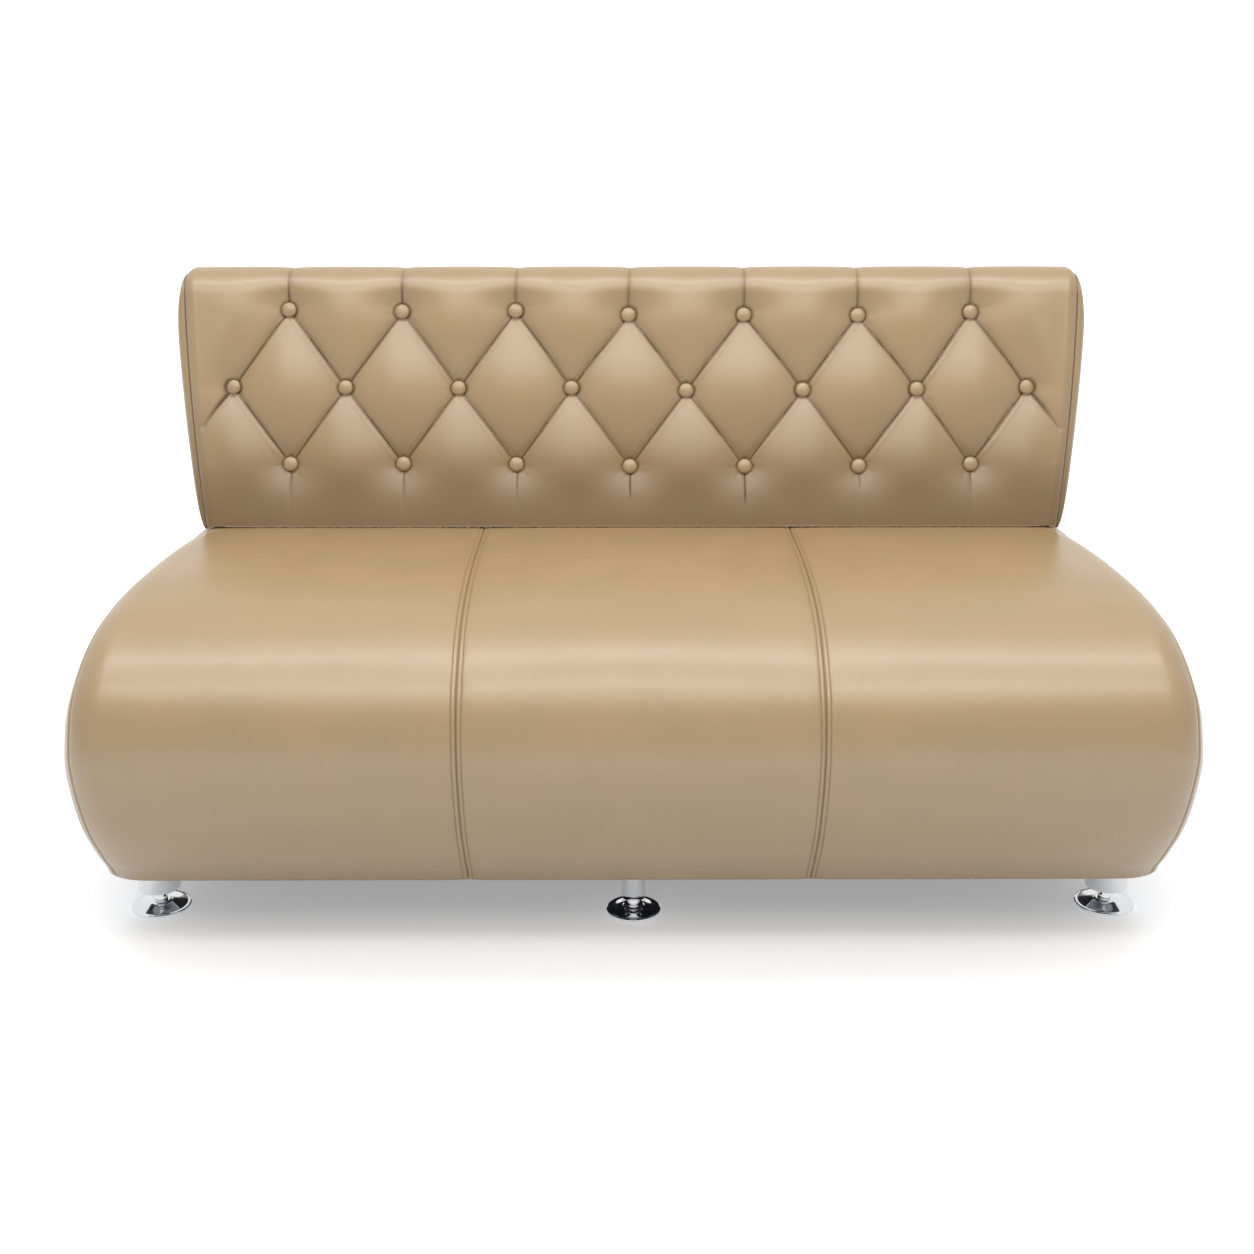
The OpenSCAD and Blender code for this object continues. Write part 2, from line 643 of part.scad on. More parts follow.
module back_end_cover_right() {
    color(leather) placed() back_end_cover();
}

module back_side_foam() {
    ring = section(pad_t + fit_gap, cover_t + 2 * fit_gap);
    x0 = back_in + fit_gap;
    ring_solid([x0, section_mid[0], section_mid[1]],
        [[for (p = ring) [x0, p[0], p[1]]], [for (p = ring) [seam_half(p) - 3 * seam_slack, p[0], p[1]]]],
        [seam_half(section_mid) - 3 * seam_slack, section_mid[0], section_mid[1]]);
}

module back_side_foam_left() {
    color(foam_c) placed() mirror([1, 0, 0]) back_side_foam();
}

module back_side_foam_right() {
    color(foam_c) placed() back_side_foam();
}

module back_rear_cover() {
    run = rear_floor(0);
    steps = [for (k = [0:rear_steps]) mix(fit_gap, run, k / rear_steps)];
    half = [for (s = steps) seam_half(rear_pt(s, 0)) - seam_slack];
    outer = [[for (i = [0:rear_steps]) let (p = rear_pt(steps[i], 0)) [-half[i], p[0], p[1]]],
        [for (i = [0:rear_steps]) let (p = rear_pt(steps[i], 0)) [half[i], p[0], p[1]]]];
    floor_in = rear_floor(cover_t);
    steps_in = [for (k = [0:rear_steps]) mix(fit_gap, floor_in, k / rear_steps)];
    inner = [[for (i = [0:rear_steps]) let (p = rear_pt(steps_in[i], cover_t)) [-half[i], p[0], p[1]]],
        [for (i = [0:rear_steps]) let (p = rear_pt(steps_in[i], cover_t)) [half[i], p[0], p[1]]]];
    color(leather) placed() grid_solid(outer, inner);
}

// Buttons and their twines
twine_r = 1.2;
twine_hole_r = 3;
shank_r = 2;
shank_lift = 1.6;
washer_t = 3;
button_rim = 2;
button_back_share = 0.4;
button_dome = 6;
button_lift = 9.5;
button_back = button_sink - button_lift;

module row_places(r) {
    for (i = [0:(r == 1 ? long_row : short_row) - 1])
        in_face() translate([button_x(r, i), 0, button_u(r)]) rotate([90, 0, 0]) children();
}

module tuft_places() {
    for (r = [0:2]) row_places(r) children();
}

module button_row(r) {
    color(leather) placed() row_places(r) translate([0, 0, -button_sink])
        rotate_extrude($fn = 32) polygon(concat([[0, shank_lift], [shank_r, shank_lift],
            [shank_r, button_sink - button_back], [button_back_share * button_d, button_sink - button_back]],
            [for (a = [0:15:90]) [button_d / 2 * cos(a),
                button_sink - button_back + button_rim + button_dome * sin(a)]]));
}

module buttons_top_row() {
    button_row(2);
}

module buttons_middle_row() {
    button_row(1);
}

module buttons_bottom_row() {
    button_row(0);
}

module tuft_twines() {
    color("#e8e4da") placed() tuft_places() translate([0, 0, board_back - washer_t])
        cylinder(r = twine_r, h = -board_back + washer_t - button_sink + shank_lift, $fn = 16);
}

module tuft_washers() {
    color(steel) placed() tuft_places() translate([0, 0, board_back - washer_t]) difference() {
        cylinder(r = washer_r, h = washer_t, $fn = 32);
        translate([0, 0, -cut]) cylinder(r = twine_r + screw_gap, h = washer_t + 2 * cut, $fn = 16);
    }
}

// Bolts that hold the backrest to the seat
bolt_r = 4;
bolt_gap = 0.2;
bolt_head_r = 6.5;
bolt_head_h = 5.3;
bolt_washer_r = 10;
bolt_washer_t = 1.6;
nut_r = 5;
nut_h = 10;
nut_flange_r = 9;
nut_flange_t = 1.5;
bolt_share = 0.66;
bolt_x = bolt_share * back_in;
bolt_y = (foot_rail_y0 + foot_rail_y1) / 2;

module bolt_places() {
    for (x = [-bolt_x, 0, bolt_x]) translate([x, bolt_y, 0]) children();
}

module back_bolts() {
    color(steel) placed() bolt_places() {
        translate([0, 0, deck_low - bolt_washer_t]) cylinder(r = bolt_r, h = foot_rail_z1 + nut_flange_t
            - deck_low + bolt_washer_t, $fn = 32);
        translate([0, 0, deck_low - bolt_washer_t - bolt_head_h])
            cylinder(r = bolt_head_r, h = bolt_head_h, $fn = 6);
    }
}

module back_bolt_washers() {
    color(steel) placed() bolt_places() translate([0, 0, deck_low - bolt_washer_t]) difference() {
        cylinder(r = bolt_washer_r, h = bolt_washer_t, $fn = 32);
        translate([0, 0, -cut]) cylinder(r = bolt_r + bolt_gap, h = bolt_washer_t + 2 * cut, $fn = 32);
    }
}

module back_tee_nuts() {
    color(steel) placed() bolt_places() difference() {
        union() {
            translate([0, 0, foot_rail_z1]) cylinder(r = nut_flange_r, h = nut_flange_t, $fn = 32);
            translate([0, 0, foot_rail_z1 - nut_h]) cylinder(r = nut_r, h = nut_h, $fn = 32);
        }
        cylinder(r = bolt_r + screw_gap, h = 4 * seat_top, center = true, $fn = 32);
    }
}

// Legs
flange_r = 40;
centre_flange_r = 34;
flange_t = 4;
flange_z = base_h - dust_t - flange_t;
screw_r = 2.2;
screw_gap = 0.05;
screw_head_r = 4;
screw_head_h = 2.2;
screw_inset = 5.5;
screw_turns = [60, 120, 240, 300];
insert_t = 8;
corner_lift = 12;

function leg_x(y) = side_half(y) - leg_in;

// Legs as rows of side, depth, tube diameter, tube end height and flange radius
corner_specs = [for (s = [-1, 1]) for (y = [front_leg_y, rear_leg_y])
    [s * leg_x(y), y, corner_tube_d, corner_tube_z, flange_r]];
centre_specs = [for (y = [centre_leg_y, rear_leg_y]) [0, y, centre_tube_d, centre_tube_z, centre_flange_r]];
leg_specs = concat(corner_specs, centre_specs);

module leg_places() {
    for (s = leg_specs) translate([s[0], s[1], 0]) {
        $flange = s[4];
        children();
    }
}

module screw_places() {
    for (a = screw_turns) rotate(a) translate([$flange - screw_inset, 0, 0]) children();
}

module leg(spec) {
    inner_r = spec[2] / 2 - tube_wall;
    translate([spec[0], spec[1], 0]) difference() {
        union() {
            translate([0, 0, flange_z]) cylinder(r = spec[4], h = flange_t, $fn = 64);
            translate([0, 0, spec[3]]) cylinder(r = spec[2] / 2, h = flange_z - spec[3], $fn = 64);
        }
        translate([0, 0, spec[3] - cut]) cylinder(r = inner_r, h = flange_z - spec[3] + cut, $fn = 64);
        for (a = screw_turns) rotate(a) translate([spec[4] - screw_inset, 0, 0])
            cylinder(r = screw_r + screw_gap, h = 4 * base_h, center = true, $fn = 24);
    }
}

module corner_legs() {
    color(chrome_c) placed() for (s = corner_specs) leg(s);
}

module centre_legs() {
    color(chrome_c) placed() for (s = centre_specs) leg(s);
}

module leg_inserts() {
    color(steel) placed() for (s = leg_specs) translate([s[0], s[1], s[3] + corner_lift]) difference() {
        cylinder(r = s[2] / 2 - tube_wall - screw_gap, h = insert_t, $fn = 64);
        translate([0, 0, -cut]) cylinder(r = thread_d / 2 + screw_gap, h = insert_t + 2 * cut, $fn = 64);
    }
}

module leg_screws() {
    color(steel) placed() leg_places() screw_places() {
        translate([0, 0, flange_z]) cylinder(r = screw_r, h = base_top - flange_z - cut, $fn = 24);
        translate([0, 0, flange_z - screw_head_h]) cylinder(r = screw_head_r, h = screw_head_h, $fn = 24);
    }
}

// Levelling feet: a stud whose ball turns in the disc's cup
ball_r = 9;
ball_gap = 0.25;
disc_floor = 3.5;
ball_z = disc_floor + ball_gap + ball_r;
neck_r = 8;
neck_share = 0.2;
stud_room = 14;
stud_top = flange_z - stud_room;
rim_t = 3.5;
rim_step = 1;
cup_wall = 3;
cup_r = 12;
cup_lip = 2;
cup_z = ball_z - cup_lip;
flare_r = 24;
flare_z = 6.5;

module stud(x, y, neck_top) {
    low = ball_z + ball_r * sin(45);
    ball_pts = [for (a = [-90:15:45]) [ball_r * cos(a), ball_z + ball_r * sin(a)]];
    color(chrome_c) placed() translate([x, y, 0]) rotate_extrude($fn = 64)
        polygon(concat(ball_pts, [[neck_r, mix(low, neck_top, neck_share)], [neck_r, neck_top],
            [thread_d / 2, neck_top], [thread_d / 2, stud_top], [0, stud_top]]));
}

module disc(x, y, d) {
    cup_pts = [for (a = [-90:15:-15]) [(ball_r + ball_gap) * cos(a), ball_z + (ball_r + ball_gap) * sin(a)]];
    color(chrome_c) placed() translate([x, y, 0]) rotate_extrude($fn = 64)
        polygon(concat([[0, 0], [d / 2, 0], [d / 2, rim_t], [(d / 2 + flare_r) / 2, rim_t + rim_step],
            [flare_r, flare_z],
            [cup_r + cup_wall, flare_z + cup_lip], [cup_r, cup_z]], [for (i = [len(cup_pts) - 1:-1:0]) cup_pts[i]]));
}

neck_gap = 2;
corner_neck = corner_tube_z - neck_gap;
centre_neck = centre_tube_z + neck_gap;

module front_left_stud() {
    stud(-leg_x(front_leg_y), front_leg_y, corner_neck);
}

module front_left_disc() {
    disc(-leg_x(front_leg_y), front_leg_y, corner_disc_d);
}

module front_centre_stud() {
    stud(0, centre_leg_y, centre_neck);
}

module front_centre_disc() {
    disc(0, centre_leg_y, centre_disc_d);
}

module front_right_stud() {
    stud(leg_x(front_leg_y), front_leg_y, corner_neck);
}

module front_right_disc() {
    disc(leg_x(front_leg_y), front_leg_y, corner_disc_d);
}

module rear_left_stud() {
    stud(-leg_x(rear_leg_y), rear_leg_y, corner_neck);
}

module rear_left_disc() {
    disc(-leg_x(rear_leg_y), rear_leg_y, corner_disc_d);
}

module rear_centre_stud() {
    stud(0, rear_leg_y, centre_neck);
}

module rear_centre_disc() {
    disc(0, rear_leg_y, centre_disc_d);
}

module rear_right_stud() {
    stud(leg_x(rear_leg_y), rear_leg_y, corner_neck);
}

module rear_right_disc() {
    disc(leg_x(rear_leg_y), rear_leg_y, corner_disc_d);
}

base_panel();
end_rib_left();
end_rib_right();
mid_ribs();
nose_rails();
bottom_rails();
front_web_rails();
rear_web_rails();
deck_rail();
rear_panel();
webbing();
seat_foam();
side_foam_left();
side_foam_right();
seat_cover_left();
seat_cover_centre();
seat_cover_right();
end_cover_left();
end_cover_right();
seat_rear_cover();
dust_cover();
back_foot_rail();
back_top_rail();
back_ribs();
back_panel();
back_slab();
back_roll_foam();
back_side_foam_left();
back_side_foam_right();
tufted_cover();
back_end_cover_left();
back_end_cover_right();
back_rear_cover();
buttons_top_row();
buttons_middle_row();
buttons_bottom_row();
tuft_twines();
tuft_washers();
back_bolts();
back_bolt_washers();
back_tee_nuts();
corner_legs();
centre_legs();
leg_inserts();
leg_screws();
front_left_stud();
front_left_disc();
front_centre_stud();
front_centre_disc();
front_right_stud();
front_right_disc();
rear_left_stud();
rear_left_disc();
rear_centre_stud();
rear_centre_disc();
rear_right_stud();
rear_right_disc();
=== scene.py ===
import bpy
import math
import random
import numpy as np
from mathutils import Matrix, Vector


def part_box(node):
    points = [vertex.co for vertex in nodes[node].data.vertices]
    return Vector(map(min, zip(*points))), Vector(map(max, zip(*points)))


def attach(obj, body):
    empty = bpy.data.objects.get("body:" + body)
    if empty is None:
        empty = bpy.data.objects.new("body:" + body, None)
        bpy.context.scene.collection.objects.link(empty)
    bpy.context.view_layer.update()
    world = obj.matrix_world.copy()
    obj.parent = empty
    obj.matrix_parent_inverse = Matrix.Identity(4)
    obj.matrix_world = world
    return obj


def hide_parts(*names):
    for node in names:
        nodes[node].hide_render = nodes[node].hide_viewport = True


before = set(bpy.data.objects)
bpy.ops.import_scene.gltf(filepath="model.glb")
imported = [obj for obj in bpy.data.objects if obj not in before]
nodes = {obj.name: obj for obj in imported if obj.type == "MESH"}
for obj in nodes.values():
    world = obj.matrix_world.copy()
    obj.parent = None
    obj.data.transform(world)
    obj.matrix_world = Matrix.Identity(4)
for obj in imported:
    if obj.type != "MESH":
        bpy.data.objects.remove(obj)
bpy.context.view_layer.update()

mm = 0.001
yShift = -361.56791373 * mm      # the part's source counts depth from the nose of the seat
random.seed(7)


def linear(hexColour):
    # sRGB hex to the linear colour that Blender's sockets take
    parts = [int(hexColour[i:i + 2], 16) / 255 for i in (1, 3, 5)]
    return (*[c / 12.92 if c <= 0.04045 else ((c + 0.055) / 1.055) ** 2.4 for c in parts], 1.0)


def addNode(material, kind, settings=None, inputs=None):
    tree = material.node_tree
    node = tree.nodes.new("ShaderNode" + kind)
    for key, value in (settings or {}).items():
        setattr(node, key, value)
    for key, value in (inputs or {}).items():
        if isinstance(value, bpy.types.NodeSocket):
            tree.links.new(value, node.inputs[key])
        else:
            node.inputs[key].default_value = value
    return node


def newMaterial(name, colour, roughness, metallic=0.0):
    material = bpy.data.materials.new(name)
    material.use_nodes = True
    shader = material.node_tree.nodes["Principled BSDF"]
    shader.inputs["Base Color"].default_value = linear(colour)
    shader.inputs["Roughness"].default_value = roughness
    shader.inputs["Metallic"].default_value = metallic
    place = addNode(material, "TexCoord").outputs["Object"]
    return material, shader, place


def plug(material, source, target):
    material.node_tree.links.new(source, target)


print("materials")

leather = dict(
    # deep is the colour that the painted shade in folds, seams and round buttons is mixed towards
    colour="#a58a61", deep="#4a3017", pale="#b09168",
    pebble=1.6,          # mm across one embossed pebble
    pore=0.55,           # mm, the fine pores between them
    cloud=90,            # mm, slow change of tone over a hide-like print
    roughness=0.29,
    specular=0.9, coat=0.35, coatRoughness=0.24)

# Faux leather: PVC on a knitted back, its grain pressed in by an embossing roller. The soft film gives a
# satin gloss with a broad highlight that breaks up over the pebbles; folds and seams carry painted shade, darker and
# warmer.
fauxLeather, shader, place = newMaterial("embossedFauxLeather", leather["colour"], leather["roughness"])
cloud = addNode(fauxLeather, "TexNoise", None,
                {"Vector": place, "Scale": 1 / (leather["cloud"] * mm), "Detail": 3.0, "Roughness": 0.55})
pebble = addNode(fauxLeather, "TexVoronoi", {"feature": "SMOOTH_F1"},
                 {"Vector": place, "Scale": 1 / (leather["pebble"] * mm), "Smoothness": 0.35, "Randomness": 0.9})
pore = addNode(fauxLeather, "TexNoise", None,
               {"Vector": place, "Scale": 1 / (leather["pore"] * mm), "Detail": 2.0})
tone = addNode(fauxLeather, "MapRange", None,
               {"Value": cloud.outputs["Fac"], "From Min": 0.35, "From Max": 0.65, "To Min": 0.0, "To Max": 0.45})
body = addNode(fauxLeather, "Mix", {"data_type": "RGBA"},
               {"Factor": tone.outputs["Result"], "A": linear(leather["colour"]), "B": linear(leather["pale"])})
# painted shade: a mesh attribute marks folds, seams and button rims, which are mixed towards the deep colour
creaseShadeMark = addNode(fauxLeather, "Attribute", {"attribute_name": "creaseShade"})
creaseShadeShare = addNode(fauxLeather, "MapRange", None,
                      {"Value": creaseShadeMark.outputs["Fac"], "To Max": 0.85})
creaseShadedColour = addNode(fauxLeather, "Mix", {"data_type": "RGBA"},
                 {"Factor": creaseShadeShare.outputs["Result"], "A": body.outputs["Result"], "B": linear(leather["deep"])})
plug(fauxLeather, creaseShadedColour.outputs["Result"], shader.inputs["Base Color"])
gloss = addNode(fauxLeather, "MapRange", None,
                {"Value": pebble.outputs["Distance"], "From Max": 0.7,
                 "To Min": leather["roughness"] - 0.04, "To Max": leather["roughness"] + 0.14})
plug(fauxLeather, gloss.outputs["Result"], shader.inputs["Roughness"])
grain = addNode(fauxLeather, "Math", {"operation": "MULTIPLY_ADD"},
                {0: pore.outputs["Fac"], 1: -0.25, 2: pebble.outputs["Distance"]})
emboss = addNode(fauxLeather, "Bump", {"invert": True},
                 {"Height": grain.outputs["Value"], "Strength": 0.28, "Distance": 0.35 * mm})
plug(fauxLeather, emboss.outputs["Normal"], shader.inputs["Normal"])
# the painted shade also takes the gloss out of the marked folds and seams
creaseShadeSpecular = addNode(fauxLeather, "MapRange", None,
                   {"Value": creaseShadeMark.outputs["Fac"], "To Min": leather["specular"], "To Max": 0.05})
creaseShadeCoat = addNode(fauxLeather, "MapRange", None,
                   {"Value": creaseShadeMark.outputs["Fac"], "To Min": leather["coat"], "To Max": 0.0})
plug(fauxLeather, creaseShadeSpecular.outputs["Result"], shader.inputs["Specular IOR Level"])
plug(fauxLeather, creaseShadeCoat.outputs["Result"], shader.inputs["Coat Weight"])
shader.inputs["Coat Roughness"].default_value = leather["coatRoughness"]


def patterned(name, roughness, tones, kind, settings=None, inputs=None, output="Fac", size=1.0, metallic=0.0,
              stretch=None, bump=None):
    # a material whose one pattern runs between two tones; size in mm, bump as (strength, height in mm)
    material, shader, place = newMaterial(name, tones[0], roughness, metallic)
    if stretch:
        place = addNode(material, "Mapping", None, {"Vector": place, "Scale": stretch}).outputs["Vector"]
    pattern = addNode(material, kind, settings, {"Vector": place, "Scale": 1 / (size * mm), **(inputs or {})})
    tone = addNode(material, "Mix", {"data_type": "RGBA"},
                   {"Factor": pattern.outputs[output], "A": linear(tones[0]), "B": linear(tones[1])})
    plug(material, tone.outputs["Result"], shader.inputs["Base Color"])
    if bump:
        relief = addNode(material, "Bump", None,
                         {"Height": pattern.outputs[output], "Strength": bump[0], "Distance": bump[1] * mm})
        plug(material, relief.outputs["Normal"], shader.inputs["Normal"])
    return material, shader, place, tone


def veiled(material, shader, tone, share, veil):
    # a second pattern multiplied faintly over the tone of the first
    mixed = addNode(material, "Mix", {"data_type": "RGBA", "blend_type": "MULTIPLY"},
                    {"Factor": share, "A": tone.outputs["Result"], "B": veil.outputs["Color"]})
    plug(material, mixed.outputs["Result"], shader.inputs["Base Color"])


waveCount = 0.314        # a wave texture's scale times its spacing in metres

# Bonded polyester thread: a tan filament twist, a little darker than the leather, with a dry sheen.
thread, shader, place, tone = patterned(
    "bondedPolyesterThread", 0.55, ("#86693f", "#b3946a"), "TexNoise", inputs={"Detail": 2.0}, size=0.7)
shader.inputs["Sheen Weight"].default_value = 0.3

# Polished chrome: nickel and chromium plated on steel tube, buffed. Mirror-clear, with only hairline marks.
chrome, shader, place = newMaterial("polishedChromePlate", "#dfe1e4", 0.05, 1.0)
hairline = addNode(chrome, "TexNoise", None, {"Vector": place, "Scale": 1 / (14 * mm), "Detail": 4.0})
hairlineGloss = addNode(chrome, "MapRange", None,
                        {"Value": hairline.outputs["Fac"], "From Min": 0.4, "From Max": 0.75,
                         "To Min": 0.035, "To Max": 0.11})
plug(chrome, hairlineGloss.outputs["Result"], shader.inputs["Roughness"])

# Zinc-plated steel: barrel-plated screws, nuts and washers, pale blue-grey with a faint spangle.
zincSteel = patterned("zincPlatedSteel", 0.34, ("#c3c7cb", "#9da2a8"), "TexVoronoi", output="Distance",
                      size=1.5, metallic=1.0)[0]

# Birch plywood: rotary-peeled veneers glued crosswise, sanded. Pale faces with slow figure; thin dark glue lines.
birchPly, shader, place, tone = patterned(
    "sandedBirchPlywood", 0.62, ("#e0c79c", "#c3a06c"), "TexNoise", inputs={"Detail": 6.0, "Distortion": 0.6},
    size=26, stretch=(0.12, 1.0, 1.0))
veneer = 1.5 * mm
glueLines = addNode(birchPly, "TexWave", {"bands_direction": "X", "wave_profile": "SIN"},
                    {"Vector": addNode(birchPly, "TexCoord").outputs["Object"], "Scale": waveCount / veneer,
                     "Distortion": 0.15})
veiled(birchPly, shader, tone, 0.22, glueLines)

# Sawn softwood: planed pine rails. Straight growth rings, amber latewood between pale earlywood.
sawnPine = patterned("sawnPine", 0.66, ("#dcbd8c", "#b98c54"), "TexWave",
                     {"bands_direction": "Z", "wave_profile": "SAW"},
                     {"Distortion": 2.2, "Detail": 3.0, "Detail Scale": 1.4},
                     size=4 / waveCount, stretch=(0.06, 1.0, 1.0))[0]

# Elastic webbing: woven rubber-cored tape. Black ribs across the strap, matt.
webTape = patterned("wovenElasticWebbing", 0.85, ("#26262a", "#4b4b50"), "TexWave", {"bands_direction": "Y"},
                    size=2.5 / waveCount, bump=(0.6, 0.4))[0]

# Spunbond cloth: point-bonded polypropylene fleece under the seat. Matt black with a lattice of weld dots.
spunbond, shader, place, tone = patterned(
    "spunbondDustCloth", 0.9, ("#1e1e21", "#3b3b3f"), "TexVoronoi", inputs={"Randomness": 0.12},
    output="Distance", size=2.2, bump=(0.5, 0.3))
fibre = addNode(spunbond, "TexNoise", None, {"Vector": place, "Scale": 1 / (0.9 * mm), "Detail": 3.0})
veiled(spunbond, shader, tone, 0.35, fibre)

# Button twine: waxed three-ply linen. Off-white with the slant of the plies.
buttonTwine = patterned("waxedLinenTwine", 0.5, ("#cfc7b4", "#efebe0"), "TexWave", {"bands_direction": "DIAGONAL"},
                        size=1.5 / waveCount)[0]

finishes = {
    birchPly: ["base_panel", "end_rib_left", "end_rib_right", "mid_ribs", "rear_panel", "back_ribs", "back_panel"],
    sawnPine: ["nose_rails", "bottom_rails", "front_web_rails", "rear_web_rails", "deck_rail", "back_foot_rail",
               "back_top_rail"],
    zincSteel: ["tuft_washers", "back_bolts", "back_bolt_washers", "back_tee_nuts", "leg_inserts", "leg_screws"],
    buttonTwine: ["tuft_twines"],
}
for finish, names in finishes.items():
    for name in names:
        for slot in nodes[name].material_slots:
            slot.link = "OBJECT"
            slot.material = finish


def makeMesh(name, points, faces, finish, creaseShade=None):
    mesh = bpy.data.meshes.new(name)
    mesh.from_pydata([tuple(p) for p in points], [], [tuple(f) for f in faces])
    mesh.materials.append(finish)
    mesh.polygons.foreach_set("use_smooth", [True] * len(mesh.polygons))
    # the point attribute carries the painted shade of folds, seams and button rims
    if creaseShade is not None:
        shadeMark = mesh.attributes.new("creaseShade", "FLOAT", "POINT")
        shadeMark.data.foreach_set("value", np.asarray(creaseShade, float).ravel())
    mesh.update()
    piece = bpy.data.objects.new(name, mesh)
    bpy.context.scene.collection.objects.link(piece)
    return piece


def ringFaces(rings, around):
    # quads between closed rings, and a fan from the first and last ring to a pole
    faces = []
    for r in range(rings - 1):
        for k in range(around):
            a, b = r * around + k, r * around + (k + 1) % around
            faces.append((a, a + around, b + around, b))
    low, high, last = rings * around, rings * around + 1, (rings - 1) * around
    for k in range(around):
        faces.append((low, k, (k + 1) % around))
        faces.append((high, last + (k + 1) % around, last + k))
    return faces


def resample(field, old, new):
    # smooth (Hermite) interpolation of a field along its first axis
    slope = np.gradient(field, old, axis=0)
    i = np.clip(np.searchsorted(old, new, side="right") - 1, 0, len(old) - 2)
    wide = (old[i + 1] - old[i])
    t = np.clip((new - old[i]) / wide, 0, 1)
    shape = (-1,) + (1,) * (field.ndim - 1)
    t, wide = t.reshape(shape), wide.reshape(shape)
    return ((2 * t ** 3 - 3 * t ** 2 + 1) * field[i] + (t ** 3 - 2 * t ** 2 + t) * wide * slope[i]
            + (3 * t ** 2 - 2 * t ** 3) * field[i + 1] + (t ** 3 - t ** 2) * wide * slope[i + 1])


def evened(field, rounds):
    # pads are taut: the short waves of the cloth are taken out, the broad swell stays
    for _ in range(rounds):
        field = (field + np.roll(field, 1, 1) + np.roll(field, -1, 1)) / 3
        field[1:-1] = (field[1:-1] + field[:-2] + field[2:]) / 3
    return field


clothSetup = dict(quality=4, mass=0.4, stretch=30, shear=10, bend=2, frames=20, seatCell=10.5, middleRow=40)


def swell(name, points, faces, held, cap, pressure):
    # Cloth with air pressure inside: the cover swells between what holds it, and its move is capped
    model = makeMesh(name, points, faces, fauxLeather)
    group = model.vertex_groups.new(name="held")
    for i, weight in enumerate(held):
        if weight > 0:
            group.add([i], float(weight), "REPLACE")
    cloth = model.modifiers.new("cloth", "CLOTH")
    setup = cloth.settings
    setup.quality, setup.mass = clothSetup["quality"], clothSetup["mass"]
    setup.tension_stiffness = setup.compression_stiffness = clothSetup["stretch"]
    setup.shear_stiffness, setup.bending_stiffness = clothSetup["shear"], clothSetup["bend"]
    setup.use_pressure = True
    setup.uniform_pressure_force = pressure
    setup.vertex_group_mass = "held"
    setup.effector_weights.gravity = 0
    cloth.collision_settings.use_collision = False
    cloth.point_cache.frame_start, cloth.point_cache.frame_end = 1, clothSetup["frames"]
    for frameNumber in range(1, clothSetup["frames"] + 1):
        bpy.context.scene.frame_set(frameNumber)
    shaped = model.evaluated_get(bpy.context.evaluated_depsgraph_get())
    after = np.zeros(len(points) * 3)
    shaped.data.vertices.foreach_get("co", after)
    move = after.reshape(-1, 3) - np.asarray(points)
    far = np.linalg.norm(move, axis=1, keepdims=True)
    move *= np.minimum(1, cap / np.maximum(far, 1e-9))
    bpy.data.objects.remove(model)
    bpy.context.scene.frame_set(1)
    return move


print("seat body")

seat = dict(
    top=466, base=85, depth=668, halfWidth=719, sideTaper=57, taperPower=0.9, endRadius=60, panelHalf=228,
    seamShift=7.5,                             # both panel seams are sewn a little to the right
    rearRadius=24, backDepth=148, deckShare=0.98, sideCrown=5, tuck=50,
    seamSink=3, seamWidth=14,                  # the shallow valley along a panel seam
    seamTurn=46,                               # where the end panels are sewn on, in degrees round the edge
    grooveDepth=1.9, grooveWidth=1.3,          # the needle-pulled line itself
    stitchAside=5.8, stitchDip=0.7,            # topstitch rows beside a panel seam
    endStitchAside=3.1,                        # and the row beside an end seam
    # painted shade in the panel seams, in the end seams and beside the stitch rows
    seamShade=0.62, endShade=0.8, stitchShade=0.45,
    frontWall=15.6, noseSet=49.88,             # the base's edge under the nose, and how far its rib is set in
    spacing=7.5,                               # between points round the seat's side outline
    noseHeld=1.6,                              # spans of nosePoints over which the base's hold on the cover ends
    seamHeld=12,                               # and mm beside a seam over which the seam's hold ends
    crownReach=190,                            # from the edge of an end panel to its middle
    undersize=1.0, swellCap=9, pressure=3.0)

seatHeight = seat["top"] - seat["base"]
frontDepth = seat["depth"] - seat["backDepth"]
deckZ = seat["base"] + seat["deckShare"] * seatHeight
midY = seat["depth"] / 2
lipShare = seat["frontWall"] / (seatHeight - seat["noseSet"])
noseShares = [(.212, 0), (.187, lipShare), (.142, .118), (.058, .29), (.006, .5), (.007, .64), (.06, .79),
              (.206, .925), (.4, .985), (.62, 1), (.83, .995), (1, seat["deckShare"])]
nosePoints = [(s * frontDepth, seat["base"] + t * seatHeight) for s, t in noseShares]


